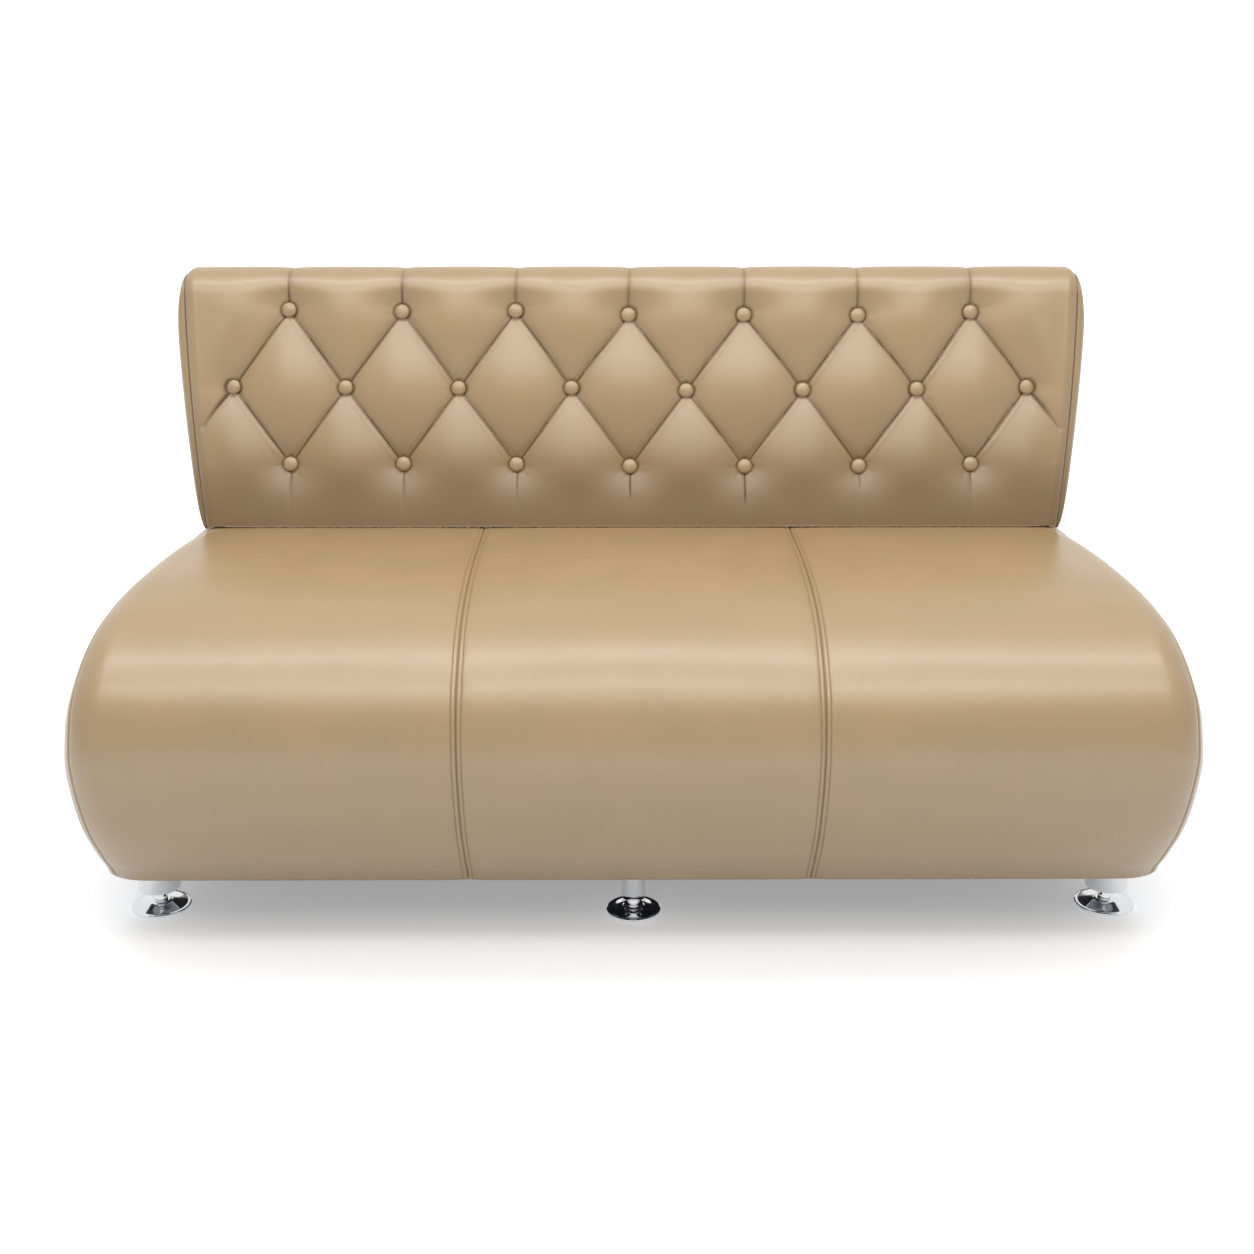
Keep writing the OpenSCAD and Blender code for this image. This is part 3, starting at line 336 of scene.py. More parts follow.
def seatOutline():
    # the seat seen from the side, as a closed loop from the front of the underside over the nose
    loop, held = [], []
    last = len(nosePoints) - 1
    for i in range(last):
        a, b = np.array(nosePoints[max(i - 1, 0)]), np.array(nosePoints[i])
        c, d = np.array(nosePoints[i + 1]), np.array(nosePoints[min(i + 2, last)])
        steps = max(2, round(np.linalg.norm(c - b) / seat["spacing"]))
        for k in range(steps):
            t = k / steps
            loop.append(0.5 * (2 * b + (c - a) * t + (2 * a - 5 * b + 4 * c - d) * t * t
                               + (3 * b - a - 3 * c + d) * t ** 3))
            held.append(max(0.0, 1 - (i + t) / seat["noseHeld"]))
    rear, r = seat["depth"], seat["rearRadius"]

    def rounded(angle, edgeZ, way):
        # a point of the rear's rounded edge, which turns from the deck or the underside to the upright
        inward = 1 - math.cos(math.radians(angle)), 1 - math.sin(math.radians(angle))
        return np.array((rear - r * inward[0], edgeZ + way * r * inward[1]))

    for y in np.linspace(frontDepth, rear - r, 14)[:-1]:
        loop.append(np.array((y, deckZ)))
        held.append(1.0)
    for a in range(90, -1, -15):
        loop.append(rounded(a, deckZ, -1))
        held.append(1.0 if a > 30 else 0.6)
    for z in np.linspace(deckZ - r, seat["base"] + r, 30)[1:-1]:
        loop.append(np.array((rear, z)))
        held.append(0.25)
    for a in range(0, 91, 15):
        loop.append(rounded(a, seat["base"], 1))
        held.append(0.6 if a < 60 else 1.0)
    start, end = loop[0], loop[-1]
    for t in np.linspace(0, 1, 26)[1:-1]:
        loop.append(end + (start - end) * t)
        held.append(1.0)
    return np.array(loop), np.array(held)


outline, outlineHeld = seatOutline()


def sideHalf(y):
    return seat["halfWidth"] - seat["sideTaper"] * (np.maximum(y, 0) / seat["depth"]) ** seat["taperPower"]


def inset(loop, depth):
    depth = np.asarray(depth)
    return np.stack([midY + (loop[:, 0] - midY) * (1 - 2 * depth / seat["depth"]),
                     seat["base"] + (loop[:, 1] - seat["base"]) * (1 - depth / seatHeight)], 1)


def seatRing(station):
    # one loop of the seat cover; station counts mm across from the middle
    kind, value = station
    y = outline[:, 0]
    turnX = sideHalf(y) - seat["endRadius"]
    fadeIn = np.clip((frontDepth - y) / seat["tuck"], 0, 1)
    if kind == "panel":
        x = value * seat["panelHalf"] if abs(value) <= 1 else \
            np.sign(value) * (seat["panelHalf"] + (turnX - seat["panelHalf"]) * (abs(value) - 1))
        x = np.broadcast_to(x, y.shape)
        valley = seat["seamSink"] * np.exp(-((np.abs(x) - seat["panelHalf"]) / seat["seamWidth"]) ** 2) * fadeIn
        x = x + seat["seamShift"] * np.minimum(1, (turnX - np.abs(x)) / (turnX - seat["panelHalf"]))
        q = inset(outline, valley)
        return np.stack([x, q[:, 0], q[:, 1]], 1)
    if kind == "turn":
        a = math.radians(abs(value))
        q = inset(outline, seat["endRadius"] * (1 - math.cos(a)))
        x = np.sign(value) * (turnX + seat["endRadius"] * math.sin(a))
        return np.stack([x, q[:, 0], q[:, 1]], 1)
    s = abs(value)
    q = inset(outline, seat["endRadius"])
    middle = np.array((midY, seat["base"] + seatHeight / 2))
    q = q + (middle - q) * s
    x = sideHalf(y + (midY - y) * s) + seat["sideCrown"] * (1 - (1 - s) ** 2)
    return np.stack([np.sign(value) * x, q[:, 0], q[:, 1]], 1)


# Stations across the seat: close together at the seams, where the grooves and stitch rows are
besideSeam = [0, 0.7, 1.5, 2.6, 4.6, 5.4, 5.8, 6.2, 7.2, 10, 15, 22]
innerShares = [i / 19 for i in range(18)] + [1 - d / seat["panelHalf"] for d in reversed(besideSeam)]
panelRun = seat["halfWidth"] - seat["endRadius"] - seat["panelHalf"]
outerShares = [1 + d / panelRun for d in besideSeam[1:]] + list(np.linspace(1.09, 2, 36))
endTurns = [4, 8, 12, 17, 22, 27, 32, 37, 40, 42.5, 44, 45, 46, 47, 48, 49.5, 52, 56, 61, 67, 74, 82]
crowns = [1e-4, .02, .05, .09, .14, .2, .27, .35, .44, .54, .65, .77, .9]
rightStations = [("panel", s) for s in sorted(set(innerShares[1:]))] + [("panel", s) for s in outerShares] \
    + [("turn", t) for t in endTurns] + [("crown", s) for s in crowns]
stations = [(k, -v) for k, v in reversed(rightStations)] + [("panel", 0.0)] + rightStations


def stationPlace(station):
    # mm across the cover from the middle, used for the seams and to carry the swelling over
    kind, value = station
    size = abs(value)
    if kind == "panel":
        place = size * seat["panelHalf"] if size <= 1 else seat["panelHalf"] + (size - 1) * panelRun
    elif kind == "turn":
        place = seat["panelHalf"] + panelRun + math.radians(size) * seat["endRadius"]
    else:
        place = seat["panelHalf"] + panelRun + math.radians(90) * seat["endRadius"] + size * seat["crownReach"]
    return math.copysign(place, value)


places = np.array([stationPlace(s) for s in stations])
grid = np.stack([seatRing(s) for s in stations])                    # station, loop, xyz in mm
endSeamPlace = seat["panelHalf"] + panelRun + math.radians(seat["seamTurn"]) * seat["endRadius"]


def seatPoles(points):
    # the middle of each end panel
    x = sideHalf(np.array(midY)) + seat["sideCrown"]
    z = seat["base"] + seatHeight / 2
    return np.vstack([points.reshape(-1, 3), [(-x, midY, z)], [(x, midY, z)]])


def gridNormals(points):
    along = np.roll(points, -1, 1) - np.roll(points, 1, 1)
    across = np.gradient(points, axis=0)
    normal = np.cross(across, along)
    normal /= np.maximum(np.linalg.norm(normal, axis=2, keepdims=True), 1e-9)
    return normal


seatNormal = gridNormals(grid)
if np.sum(seatNormal[:, :, 2] * (grid[:, :, 2] - seat["base"] - seatHeight / 2)) < 0:
    seatNormal = -seatNormal

print("seat cloth")
coarse = [0]
for i in range(1, len(stations)):
    if abs(places[i]) < 1 or places[i] - places[coarse[-1]] >= clothSetup["seatCell"]:
        coarse.append(i)
seams = [int(np.argmin(np.abs(places - p))) for p in
         (seat["panelHalf"], -seat["panelHalf"], endSeamPlace, -endSeamPlace)]
keep = np.array(sorted(set(coarse + [len(stations) - 1] + seams)))
shrunk = grid - seatNormal * seat["undersize"] * (1 - outlineHeld)[None, :, None]
seam = np.minimum(np.abs(np.abs(places) - seat["panelHalf"]), np.abs(np.abs(places) - endSeamPlace))
seamHeld = np.clip(1.2 - seam / seat["seamHeld"], 0, 1)
start = seatPoles(shrunk[keep]) * mm
heldWeights = np.maximum(outlineHeld[None, :], seamHeld[keep][:, None])
move = swell("seatCloth", start, ringFaces(len(keep), grid.shape[1]),
             np.append(heldWeights.ravel(), [0.0, 0.0]), seat["swellCap"] * mm, seat["pressure"])
move = evened(move[:-2].reshape(len(keep), grid.shape[1], 3) / mm, 6)
print("seat swell", np.abs(move).mean().round(2), np.abs(move).max().round(2))
grid = shrunk + resample(move, places[keep], places)

# Grooves and stitch rows, and the painted shade in them
fromPanelSeam = np.abs(np.abs(places) - seat["panelHalf"])
fromEndSeam = np.abs(np.abs(places) - endSeamPlace)
aboveBase = (outline[:, 1] > seat["base"] + 0.5).astype(float)
seamShown = np.clip((frontDepth + 20 - outline[:, 0]) / 10, 0, 1) * aboveBase     # it ends under the backrest
groove = seat["grooveDepth"] * np.exp(-(fromPanelSeam / seat["grooveWidth"]) ** 2) \
    + seat["stitchDip"] * np.exp(-((fromPanelSeam - seat["stitchAside"]) / 0.7) ** 2)
endGroove = seat["grooveDepth"] * np.exp(-(fromEndSeam / seat["grooveWidth"]) ** 2)
depthMap = groove[:, None] * seamShown[None, :] + endGroove[:, None] * aboveBase[None, :]
grid = grid - seatNormal * depthMap[:, :, None]
# painted shade: darker in the seam grooves and in the dips of the stitch rows
stitchRowShade = seat["stitchShade"] * np.exp(-((fromPanelSeam - seat["stitchAside"]) / 0.8) ** 2)
seatCreaseShade = seat["seamShade"] * np.exp(-fromPanelSeam ** 2)[:, None] * seamShown[None, :] \
    + seat["endShade"] * np.exp(-fromEndSeam ** 2)[:, None] * aboveBase[None, :] \
    + stitchRowShade[:, None] * seamShown[None, :]

seatPoints = seatPoles(grid) * mm
seatPoints[:, 1] += yShift
seatBody = makeMesh("seatBody", seatPoints, ringFaces(*grid.shape[:2]), fauxLeather,
                    np.append(seatCreaseShade.ravel(), [0, 0]))
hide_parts("seat_cover_left", "seat_cover_centre", "seat_cover_right", "end_cover_left",
            "end_cover_right", "seat_rear_cover", "seat_foam", "side_foam_left", "side_foam_right")
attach(seatBody, "sofa")


# Topstitching: one stitch is a few dozen faces, laid along a path on the cover
stitch = dict(pitch=3.6, length=2.5, thick=0.55, sides=5,
              rings=((-1, 0.35, -0.35), (-0.6, 0.95, 0.12), (0, 1, 0.3), (0.6, 0.95, 0.12), (1, 0.35, -0.35)))


def stitchRow(points, normals, target):
    # short thread bars along a polyline in mm, each end dipping into its needle hole
    step = np.linalg.norm(np.diff(points, axis=0), axis=1)
    run = np.concatenate([[0], np.cumsum(step)])
    count = int(run[-1] // stitch["pitch"])
    spots = (np.arange(count) + 0.5) * stitch["pitch"]
    for s in spots:
        here = np.array([np.interp(s, run, points[:, c]) for c in range(3)])
        ahead = np.array([np.interp(s + 0.5, run, points[:, c]) for c in range(3)])
        up = np.array([np.interp(s, run, normals[:, c]) for c in range(3)])
        up /= np.linalg.norm(up)
        go = ahead - here
        go -= up * np.dot(go, up)
        go /= max(np.linalg.norm(go), 1e-6)
        aside = np.cross(up, go)
        base = len(target["points"])
        for t, size, lift in stitch["rings"]:
            centre = here + go * t * stitch["length"] / 2 + up * lift * stitch["thick"]
            for k in range(stitch["sides"]):
                a = 2 * math.pi * k / stitch["sides"]
                target["points"].append(centre + (aside * math.cos(a) + up * math.sin(a) * 0.8)
                                        * size * stitch["thick"])
        sides, last = stitch["sides"], len(stitch["rings"]) - 1
        for r in range(last):
            for k in range(sides):
                a, b = base + r * sides + k, base + r * sides + (k + 1) % sides
                target["faces"].append((a, b, b + sides, a + sides))
        target["faces"].append([base + k for k in reversed(range(sides))])
        target["faces"].append([base + last * sides + k for k in range(sides)])


print("topstitching")
stitches = {"points": [], "faces": []}
visibleRows = [j for j in range(len(outline)) if outline[j, 1] > seat["base"] + 1 and outline[j, 0] < frontDepth + 2]
for i, aside in enumerate(fromPanelSeam):
    if abs(aside - seat["stitchAside"]) < 0.12:
        stitchRow(grid[i, visibleRows], seatNormal[i, visibleRows], stitches)
endRow = [j for j in range(len(outline)) if outline[j, 1] > seat["base"] + 1]
for sign in (-1, 1):
    i = int(np.argmin(np.abs(places - sign * (endSeamPlace + seat["endStitchAside"]))))
    stitchRow(grid[i, endRow], seatNormal[i, endRow], stitches)
stitchPoints = np.array(stitches["points"]) * mm
stitchPoints[:, 1] += yShift
seatStitches = makeMesh("seatTopstitches", stitchPoints, stitches["faces"], thread)
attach(seatStitches, "sofa")


print("tufted backrest")

back = dict(
    recline=18.4, faceRun=350, rollRadius=48, seamFoot=636, seamTop=669, endRadius=18, rearSet=6,
    crown=18, crownLow=12, flarePower=1.7, edgeTurn=60, seamSlack=0.9, seamSink=1.6,
    buttonPitch=169, rowPitch=113.5, firstRow=96, shortRow=7,
    cells=32,                                     # grid cells from a button to the next row's
    handReach=62,                                 # how far a hand-set button carries the leather with it
    tight=4.0, tightPower=0.35, dome=9.0,         # the diamonds: a tight shoulder at the pleats and a broad dome
    proud=3.5, lift=2.5,                          # how far the crests and the whole pad stand out of the plain face
    fold=2.8, foldUpper=7.0, foldLower=1.7,       # the pleat itself: slack above it and tight below it
    edgeShare=0.3, edgeCalm=55,                   # near the side seams the pad is pulled flatter
    lip=1.6, dimple=2.5, dimpleRadius=15, hollow=4.2, hollowRadius=32,
    uprightDepth=3.5, uprightWide=12,             # the vertical pleats above the top row
    uprightShares=((0.55, 9), (0.45, 2.2)),       # their soft and their tight part: share and width
    rowFade=34, footFade=90,                      # where the diamonds give way to them, and where the lower ones end
    pucker=0.3, puckerAt=19, puckerWidth=6,       # the small puckers round a button
    pleatMark=1.5, endPleatMark=2.8,              # half width of the shade in a pleat, and in the last one
    ringMark=0.8, ringEdge=12.5, ringSoft=2.0,    # the shade round a button
    paintedFootShade=0.62, paintedFootShadeRise=118,            # painted shade where the backrest meets the seat, fading up the face
    rollFade=120,                                 # degrees round the roll over which the tufting fades
    endMiddle=(0.62, 0.5),                        # an end panel's middle, as shares of the way to the roll's centre
    freeFoot=40, freeBorder=50,                   # mm from the seat and from the side seams where the cover swells
    undersize=1.5, swellCap=6, pressure=2.0)

halfPitch = back["buttonPitch"] / 2
lean = math.radians(back["recline"])
faceZ = deckZ + 0.3
rollCentre = np.array((frontDepth + back["faceRun"] * math.sin(lean) + back["rollRadius"] * math.cos(lean),
                       faceZ + back["faceRun"] * math.cos(lean) - back["rollRadius"] * math.sin(lean)))
rearFoot = np.array((seat["depth"] - back["rearSet"], faceZ))
rearSpan = np.linalg.norm(rollCentre - rearFoot)
rearLean = math.atan((rollCentre[0] - rearFoot[0]) / (rollCentre[1] - rearFoot[1])) \
    + math.asin(back["rollRadius"] / rearSpan)
rearTurn = math.pi + rearLean - lean
rearRun = math.sqrt(rearSpan ** 2 - back["rollRadius"] ** 2)


def rollPoint(a, d):
    return rollCentre + (back["rollRadius"] - d) * np.array((-math.cos(lean + a), math.sin(lean + a)))


def sectionRows():
    # rows of the backrest's section: kind, place along the face, and a function of the depth
    step = back["rowPitch"] / back["cells"]
    rows = [("face", 0.0), ("face", 0.6), ("face", 1.8)]
    k = -int(back["firstRow"] // step)
    while back["firstRow"] + k * step < back["faceRun"] - 1:
        rows.append(("face", back["firstRow"] + k * step))
        k += 1
    rows.append(("face", float(back["faceRun"])))
    rows += [("roll", a) for a in np.radians(np.arange(4, 100, 4.0))]
    rows += [("roll", a) for a in np.linspace(math.radians(104), rearTurn, 9)]
    rows += [("rear", s) for s in np.linspace(0, 1, 27)[1:]]
    rows += [("floor", s) for s in np.linspace(0, 1, 11)[1:-1]]
    return rows


def sectionPoint(row, d):
    kind, value = row
    if kind == "face":
        u = max(value, d * math.tan(lean))
        return np.array((frontDepth + u * math.sin(lean) + d * math.cos(lean),
                         faceZ + u * math.cos(lean) - d * math.sin(lean)))
    if kind == "roll":
        return rollPoint(value, d)
    top = rollPoint(rearTurn, d)
    run = (top[1] - faceZ) / math.cos(rearLean)
    down = np.array((math.sin(rearLean), math.cos(rearLean)))
    if kind == "rear":
        return top - down * (run * value)
    foot, front = top - down * run, sectionPoint(("face", 0.0), d)
    return foot + (front - foot) * value


# A row's place is mm up the face and round the roll; rows out of sight are put far off
rows = sectionRows()
rowPlace = np.array([v if k == "face" else back["faceRun"] + back["rollRadius"] * v if k == "roll" else 1e4
                     for k, v in rows])
rowBase = np.array([sectionPoint(r, 0) for r in rows])
rowInward = np.array([sectionPoint(r, 1.0) for r in rows]) - rowBase
rowInward[0] = rowInward[1]
shownRow = rowPlace < 9000


def seamHalf(p):
    up = (p[..., 0] - frontDepth) * math.sin(lean) + (p[..., 1] - faceZ) * math.cos(lean)
    lack = np.maximum(0, 1 - up / (back["faceRun"] + back["rollRadius"]))
    return back["seamTop"] - (back["seamTop"] - back["seamFoot"]) * lack ** back["flarePower"]


# How far each button is set by hand from its even place, in mm: sideways and upwards, by row
handSet = (((-4, 1), (-4, 1), (-4, 0), (-3, -3), (0, -3), (2, -3), (1, 0)),
           ((-5, 3), (-6, 2), (-6, 1), (-6, 1), (-3, -3), (3, -2), (5, -1), (1, 2)),
           ((-6, 5), (-6, 2), (-5, 3), (-5, -3), (-1, -3), (1, -4), (1, 1)))
buttonSpots = [(r, (i - (len(row) - 1) / 2) * back["buttonPitch"], back["firstRow"] + r * back["rowPitch"], aside, up)
               for r, row in enumerate(handSet) for i, (aside, up) in enumerate(row)]


def smooth(low, high, value):
    t = np.clip((value - low) / (high - low), 0, 1)
    return t * t * (3 - 2 * t)


def pillowDepth(full):
    full = np.clip(full, 0, 1)
    return back["tight"] * (1 - full ** back["tightPower"]) + back["dome"] * (1 - full)


def buttonPull(x, u):
    # how strongly each button takes the leather at a point along, 1 at the button itself
    return np.array([np.exp(-((x - bx) ** 2 + (u - bu) ** 2) / back["handReach"] ** 2)
                     for r, bx, bu, aside, up in buttonSpots])


def tuftDepth(x, u):
    # depth of the cover below the plain face, in mm, and the painted shade of the folds and button rings (0 to 1)
    handSetAside, handSetUp = np.array([spot[3:] for spot in buttonSpots]).T
    pull = buttonPull(x, u).sum(0) + 0.15
    x = x - np.tensordot(handSetAside, buttonPull(x, u), 1) / pull
    u = u - np.tensordot(handSetUp, buttonPull(x, u), 1) / pull
    p, q = np.abs(x) / halfPitch, (u - back["firstRow"]) / back["rowPitch"]
    acrossPleat = 2 * halfPitch * back["rowPitch"] / math.hypot(halfPitch, back["rowPitch"])
    s, t = (p + q) / 2, (p - q) / 2
    a = np.where(p > 7, np.clip((p + q - 8) / 2, -0.5, 0.5), s - np.round(s))
    b = -(t - np.round(t))
    beyond = 0.5 * np.maximum(p - 7, 0)
    bSize = np.where(p > 7, np.minimum(0.5, np.abs((7 - q) / 2 - np.round((7 - q) / 2)) + beyond), np.abs(b))
    full = np.sin(math.pi * np.abs(a)) * np.sin(math.pi * bSize)
    even = np.minimum(np.abs(p - 2 * np.clip(np.round(p / 2), 0, 3)), 1)
    evenFull = np.sin(math.pi / 2 * even) ** 2

    def fold(signed):
        d = np.abs(signed) * acrossPleat
        upper = np.exp(-d / back["foldUpper"])
        lower = np.exp(-d / back["foldLower"]) - back["lip"] / back["fold"] * np.exp(-((d - 4.6) / 2.6) ** 2)
        return back["fold"] * np.where(signed >= 0, upper, lower)

    between = pillowDepth(full) + np.where(p > 7, fold(a), np.where(np.abs(a) < np.abs(b), fold(a), fold(b)))
    dx = even * halfPitch
    (softShare, soft), (tightShare, tight) = back["uprightShares"]
    line = softShare * np.exp(-dx / soft) + tightShare * np.exp(-dx / tight)
    rise = np.exp(-(np.maximum(q - 2, 0) * back["rowPitch"] / back["rowFade"]) ** 2)
    upright = back["uprightDepth"] * np.exp(-dx / back["uprightWide"]) + 1.0 - np.sin(math.pi / 2 * even)
    above = pillowDepth(evenFull) * rise + (1 - rise) * upright + back["fold"] * line
    fall = np.exp(-(np.maximum(-q, 0) * back["rowPitch"] / back["rowFade"]) ** 2)
    fade = np.clip(1 + q * back["rowPitch"] / back["footFade"], 0, 1)
    below = pillowDepth(evenFull) * fall + (1 - fall) * 2.0 + back["fold"] * line * fade
    top, foot = smooth(1.91, 2.09, q), smooth(0.09, -0.09, q)
    depth = between * (1 - top) * (1 - foot) + above * top + below * foot
    near = np.minimum(np.abs(a), np.where(p > 7, 1, np.abs(b))) * acrossPleat
    near = near * (1 - top) * (1 - foot) + dx * top + (dx + 3 * (1 - fade) ** 2) * foot
    # painted shade along the pleats, a little wider in the last one, and in a ring round each button
    wide = np.where(p > 7.05, back["endPleatMark"], back["pleatMark"])
    shadeMark = (np.exp(-(near / wide) ** 2) + 0.22 * np.exp(-near / 7)) * (1 - 0.25 * top)
    shadeMark = shadeMark * (1 - 0.85 * smooth(7.1, 7.7, p) * (1 - top) * (1 - foot))
    for r, bx, bu, aside, up in buttonSpots:
        away, turn = np.hypot(x - bx, u - bu), np.arctan2(u - bu, x - bx)
        depth = depth + back["dimple"] * np.exp(-(away / back["dimpleRadius"]) ** 2) \
            + back["hollow"] * np.exp(-(away / back["hollowRadius"]) ** 2)
        depth = depth + back["pucker"] * np.exp(-((away - back["puckerAt"]) / back["puckerWidth"]) ** 2) * (
            np.sin(9 * turn + 2.1 * bx + r) + 0.6 * np.sin(14 * turn + 1.3 * bx + 2 * r))
        beyondRing = np.maximum(away - back["ringEdge"], 0) / back["ringSoft"]
        shadeMark = np.maximum(shadeMark, back["ringMark"] * np.exp(-beyondRing ** 2))
    crest = full * (1 - top) * (1 - foot) + evenFull * (rise * top + fall * foot)
    return depth - back["proud"] * crest - back["lift"], np.clip(shadeMark, 0, 1)


# Columns across the backrest
step = halfPitch / back["cells"]
evenColumns = np.arange(0, back["shortRow"] * back["cells"] + 1) * step
middleHalf = evenColumns[-1]
backStations = [("flat", x) for x in evenColumns] + [("edge", t) for t in np.linspace(0, 1, 31)[1:]] \
    + [("turn", t) for t in (5, 10, 15, 20, 26, 32, 38, 44, 49, 53, 56, 58, 60)] \
    + [("side", t) for t in (0.0, 0.008, 0.02, .04, .07, .11, .16, .22, .3, .4, .52, .66, .82)]
backStations = [(k, -v if v else -0.0) for k, v in reversed(backStations[1:])] + backStations


sectionMid = np.array((frontDepth + (rollCentre[0] - frontDepth) * back["endMiddle"][0],
                       faceZ + (rollCentre[1] - faceZ) * back["endMiddle"][1]))
rollFade = np.array([1.0 if k == "face" else max(0, 1 - v / math.radians(back["rollFade"])) if k == "roll" else 0
                     for k, v in rows])
# painted shade: darker towards the foot of the backrest, where the seat meets it, fading up the face
paintedFootShade = np.where(shownRow, back["paintedFootShade"] * np.exp(-(rowPlace / back["paintedFootShadeRise"]) ** 2), 0)


def backRing(index, station, halfCount):
    # one loop of the backrest's cover and its painted shade, at a station counted from the middle
    kind, value = station
    size, sign = abs(value), 1 if index >= halfCount else -1
    sine60 = math.sin(math.radians(back["edgeTurn"]))
    seamX = seamHalf(rowBase)
    if kind in ("flat", "edge"):
        x = np.full(len(rows), size)
        if kind == "edge":
            x = middleHalf + (seamX - back["endRadius"] * sine60 - middleHalf) * size
        depth, shadeMark = tuftDepth(sign * x, rowPlace)
        inFromSeam = seamX - back["endRadius"] - x
        calm = back["edgeShare"] + (1 - back["edgeShare"]) * smooth(0, back["edgeCalm"], inFromSeam)
        depth = np.where(shownRow, depth * rollFade * calm, 0)
        shadeMark = np.maximum(np.where(shownRow, shadeMark * rollFade, 0), paintedFootShade)
        q = rowBase + rowInward * depth[:, None]
        return np.stack([sign * x, q[:, 0], q[:, 1]], 1), shadeMark
    drop = back["endRadius"] * (1 - math.cos(math.radians(back["edgeTurn"])))
    frontShare = np.where(shownRow, 1.0, 0.5)
    if kind == "turn":
        a = math.radians(size)
        x0 = seamX - back["endRadius"] * sine60
        depth, shadeMark = tuftDepth(sign * x0, rowPlace)
        keep = 1 - size / back["edgeTurn"]
        depth = np.where(shownRow, depth * rollFade * keep * back["edgeShare"], 0) \
            + back["endRadius"] * (1 - math.cos(a)) * frontShare
        x = x0 + back["endRadius"] * math.sin(a) - back["seamSlack"]
        inSeam = size > back["edgeTurn"] - 3
        if inSeam:
            depth = depth + back["seamSink"]
        q = rowBase + rowInward * depth[:, None]
        shadeMark = np.maximum(np.where(shownRow, shadeMark * rollFade * keep, 0), paintedFootShade)
        # painted shade in the side seam
        return np.stack([sign * x, q[:, 0], q[:, 1]], 1), np.maximum(shadeMark, 0.9 if inSeam else 0.0)
    q = rowBase + rowInward * (drop * frontShare)[:, None]
    q = q + (sectionMid - q) * size
    up = (q[:, 0] - frontDepth) * math.sin(lean) + (q[:, 1] - faceZ) * math.cos(lean)
    up = np.clip(up, 0, back["faceRun"]) / back["faceRun"]
    bulge = back["crownLow"] + (back["crown"] - back["crownLow"]) * up
    x = seamHalf(q) + bulge * np.sqrt(1 - (1 - size) ** 3)
    # painted shade in the side seam and at the foot of the end panel
    shadeMark = np.maximum(paintedFootShade * (1 - size), 0.5 if size < 0.001 else 0.0)
    return np.stack([sign * x, q[:, 0], q[:, 1]], 1), shadeMark


halfCount = len(backStations) // 2
made = [backRing(i, s, halfCount) for i, s in enumerate(backStations)]
backGrid = np.stack([m[0] for m in made])
backCrease = np.stack([m[1] for m in made])
poleX = float(seamHalf(sectionMid)) + (back["crown"] + back["crownLow"]) / 2


def backPoles(points):
    return np.vstack([points.reshape(-1, 3), [(-poleX, *sectionMid)], [(poleX, *sectionMid)]])


def slack(columns, columnIndex, rowIndex):
    # 1 on the crests, 0 in the pleats, at the borders and on what is out of sight
    free = np.zeros(columns.shape[:2])
    for c, i in enumerate(columnIndex):
        if backStations[i][0] in ("flat", "edge"):
            depth, shadeMark = tuftDepth(columns[c, :, 0], rowPlace[rowIndex])
            border = seamHalf(rowBase[rowIndex]) - back["endRadius"] - np.abs(columns[c, :, 0])
            free[c] = smooth(9, 1, depth) * rollFade[rowIndex] * smooth(0, back["freeFoot"], rowPlace[rowIndex]) \
                * smooth(0, back["freeBorder"], border)
    return free


print("backrest cloth")
columnSteps = np.linalg.norm(np.diff(backGrid[:, clothSetup["middleRow"]], axis=0), axis=1)
backPlaces = np.concatenate([[-1], np.cumsum(np.maximum(columnSteps, 0.2))])
keepColumn = [i for i in range(len(backStations)) if backStations[i][0] == "side" or
              (i - halfCount) % 4 == 0 or i in (0, len(backStations) - 1)]
keepRow = [j for j in range(len(rows)) if not shownRow[j] or j % 3 == 1 or j == 0]
small = backGrid[np.ix_(keepColumn, keepRow)]
inwardSmall = np.zeros_like(small)
inwardSmall[:, :, 1:] = rowInward[keepRow][None]
free = slack(small, keepColumn, keepRow)
small = small + inwardSmall * (back["undersize"] * free)[:, :, None]
move = swell("backCloth", backPoles(small) * mm, ringFaces(len(keepColumn), len(keepRow)),
             np.append((1 - free).ravel(), [1.0, 1.0]), back["swellCap"] * mm, back["pressure"])
move = evened(move[:-2].reshape(small.shape) / mm + inwardSmall * (back["undersize"] * free)[:, :, None], 3)
move = resample(move, backPlaces[keepColumn], backPlaces)
rowRun = np.arange(len(rows)).astype(float)
move = np.moveaxis(resample(np.moveaxis(move, 1, 0), rowRun[keepRow], rowRun), 0, 1)
move *= slack(backGrid, range(len(backStations)), np.arange(len(rows)))[:, :, None]
print("backrest swell", np.abs(move).mean().round(2), np.abs(move).max().round(2))
backGrid = backGrid + move

backPoints = backPoles(backGrid) * mm
backPoints[:, 1] += yShift
backPad = makeMesh("backPad", backPoints, ringFaces(*backGrid.shape[:2]), fauxLeather,
                   np.append(backCrease.ravel(), [0, 0]))
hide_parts("tufted_cover", "back_end_cover_left", "back_end_cover_right", "back_rear_cover",
            "back_slab", "back_roll_foam", "back_side_foam_left", "back_side_foam_right")
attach(backPad, "sofa")


def deselectAll():
    bpy.ops.object.select_all(action="DESELECT")


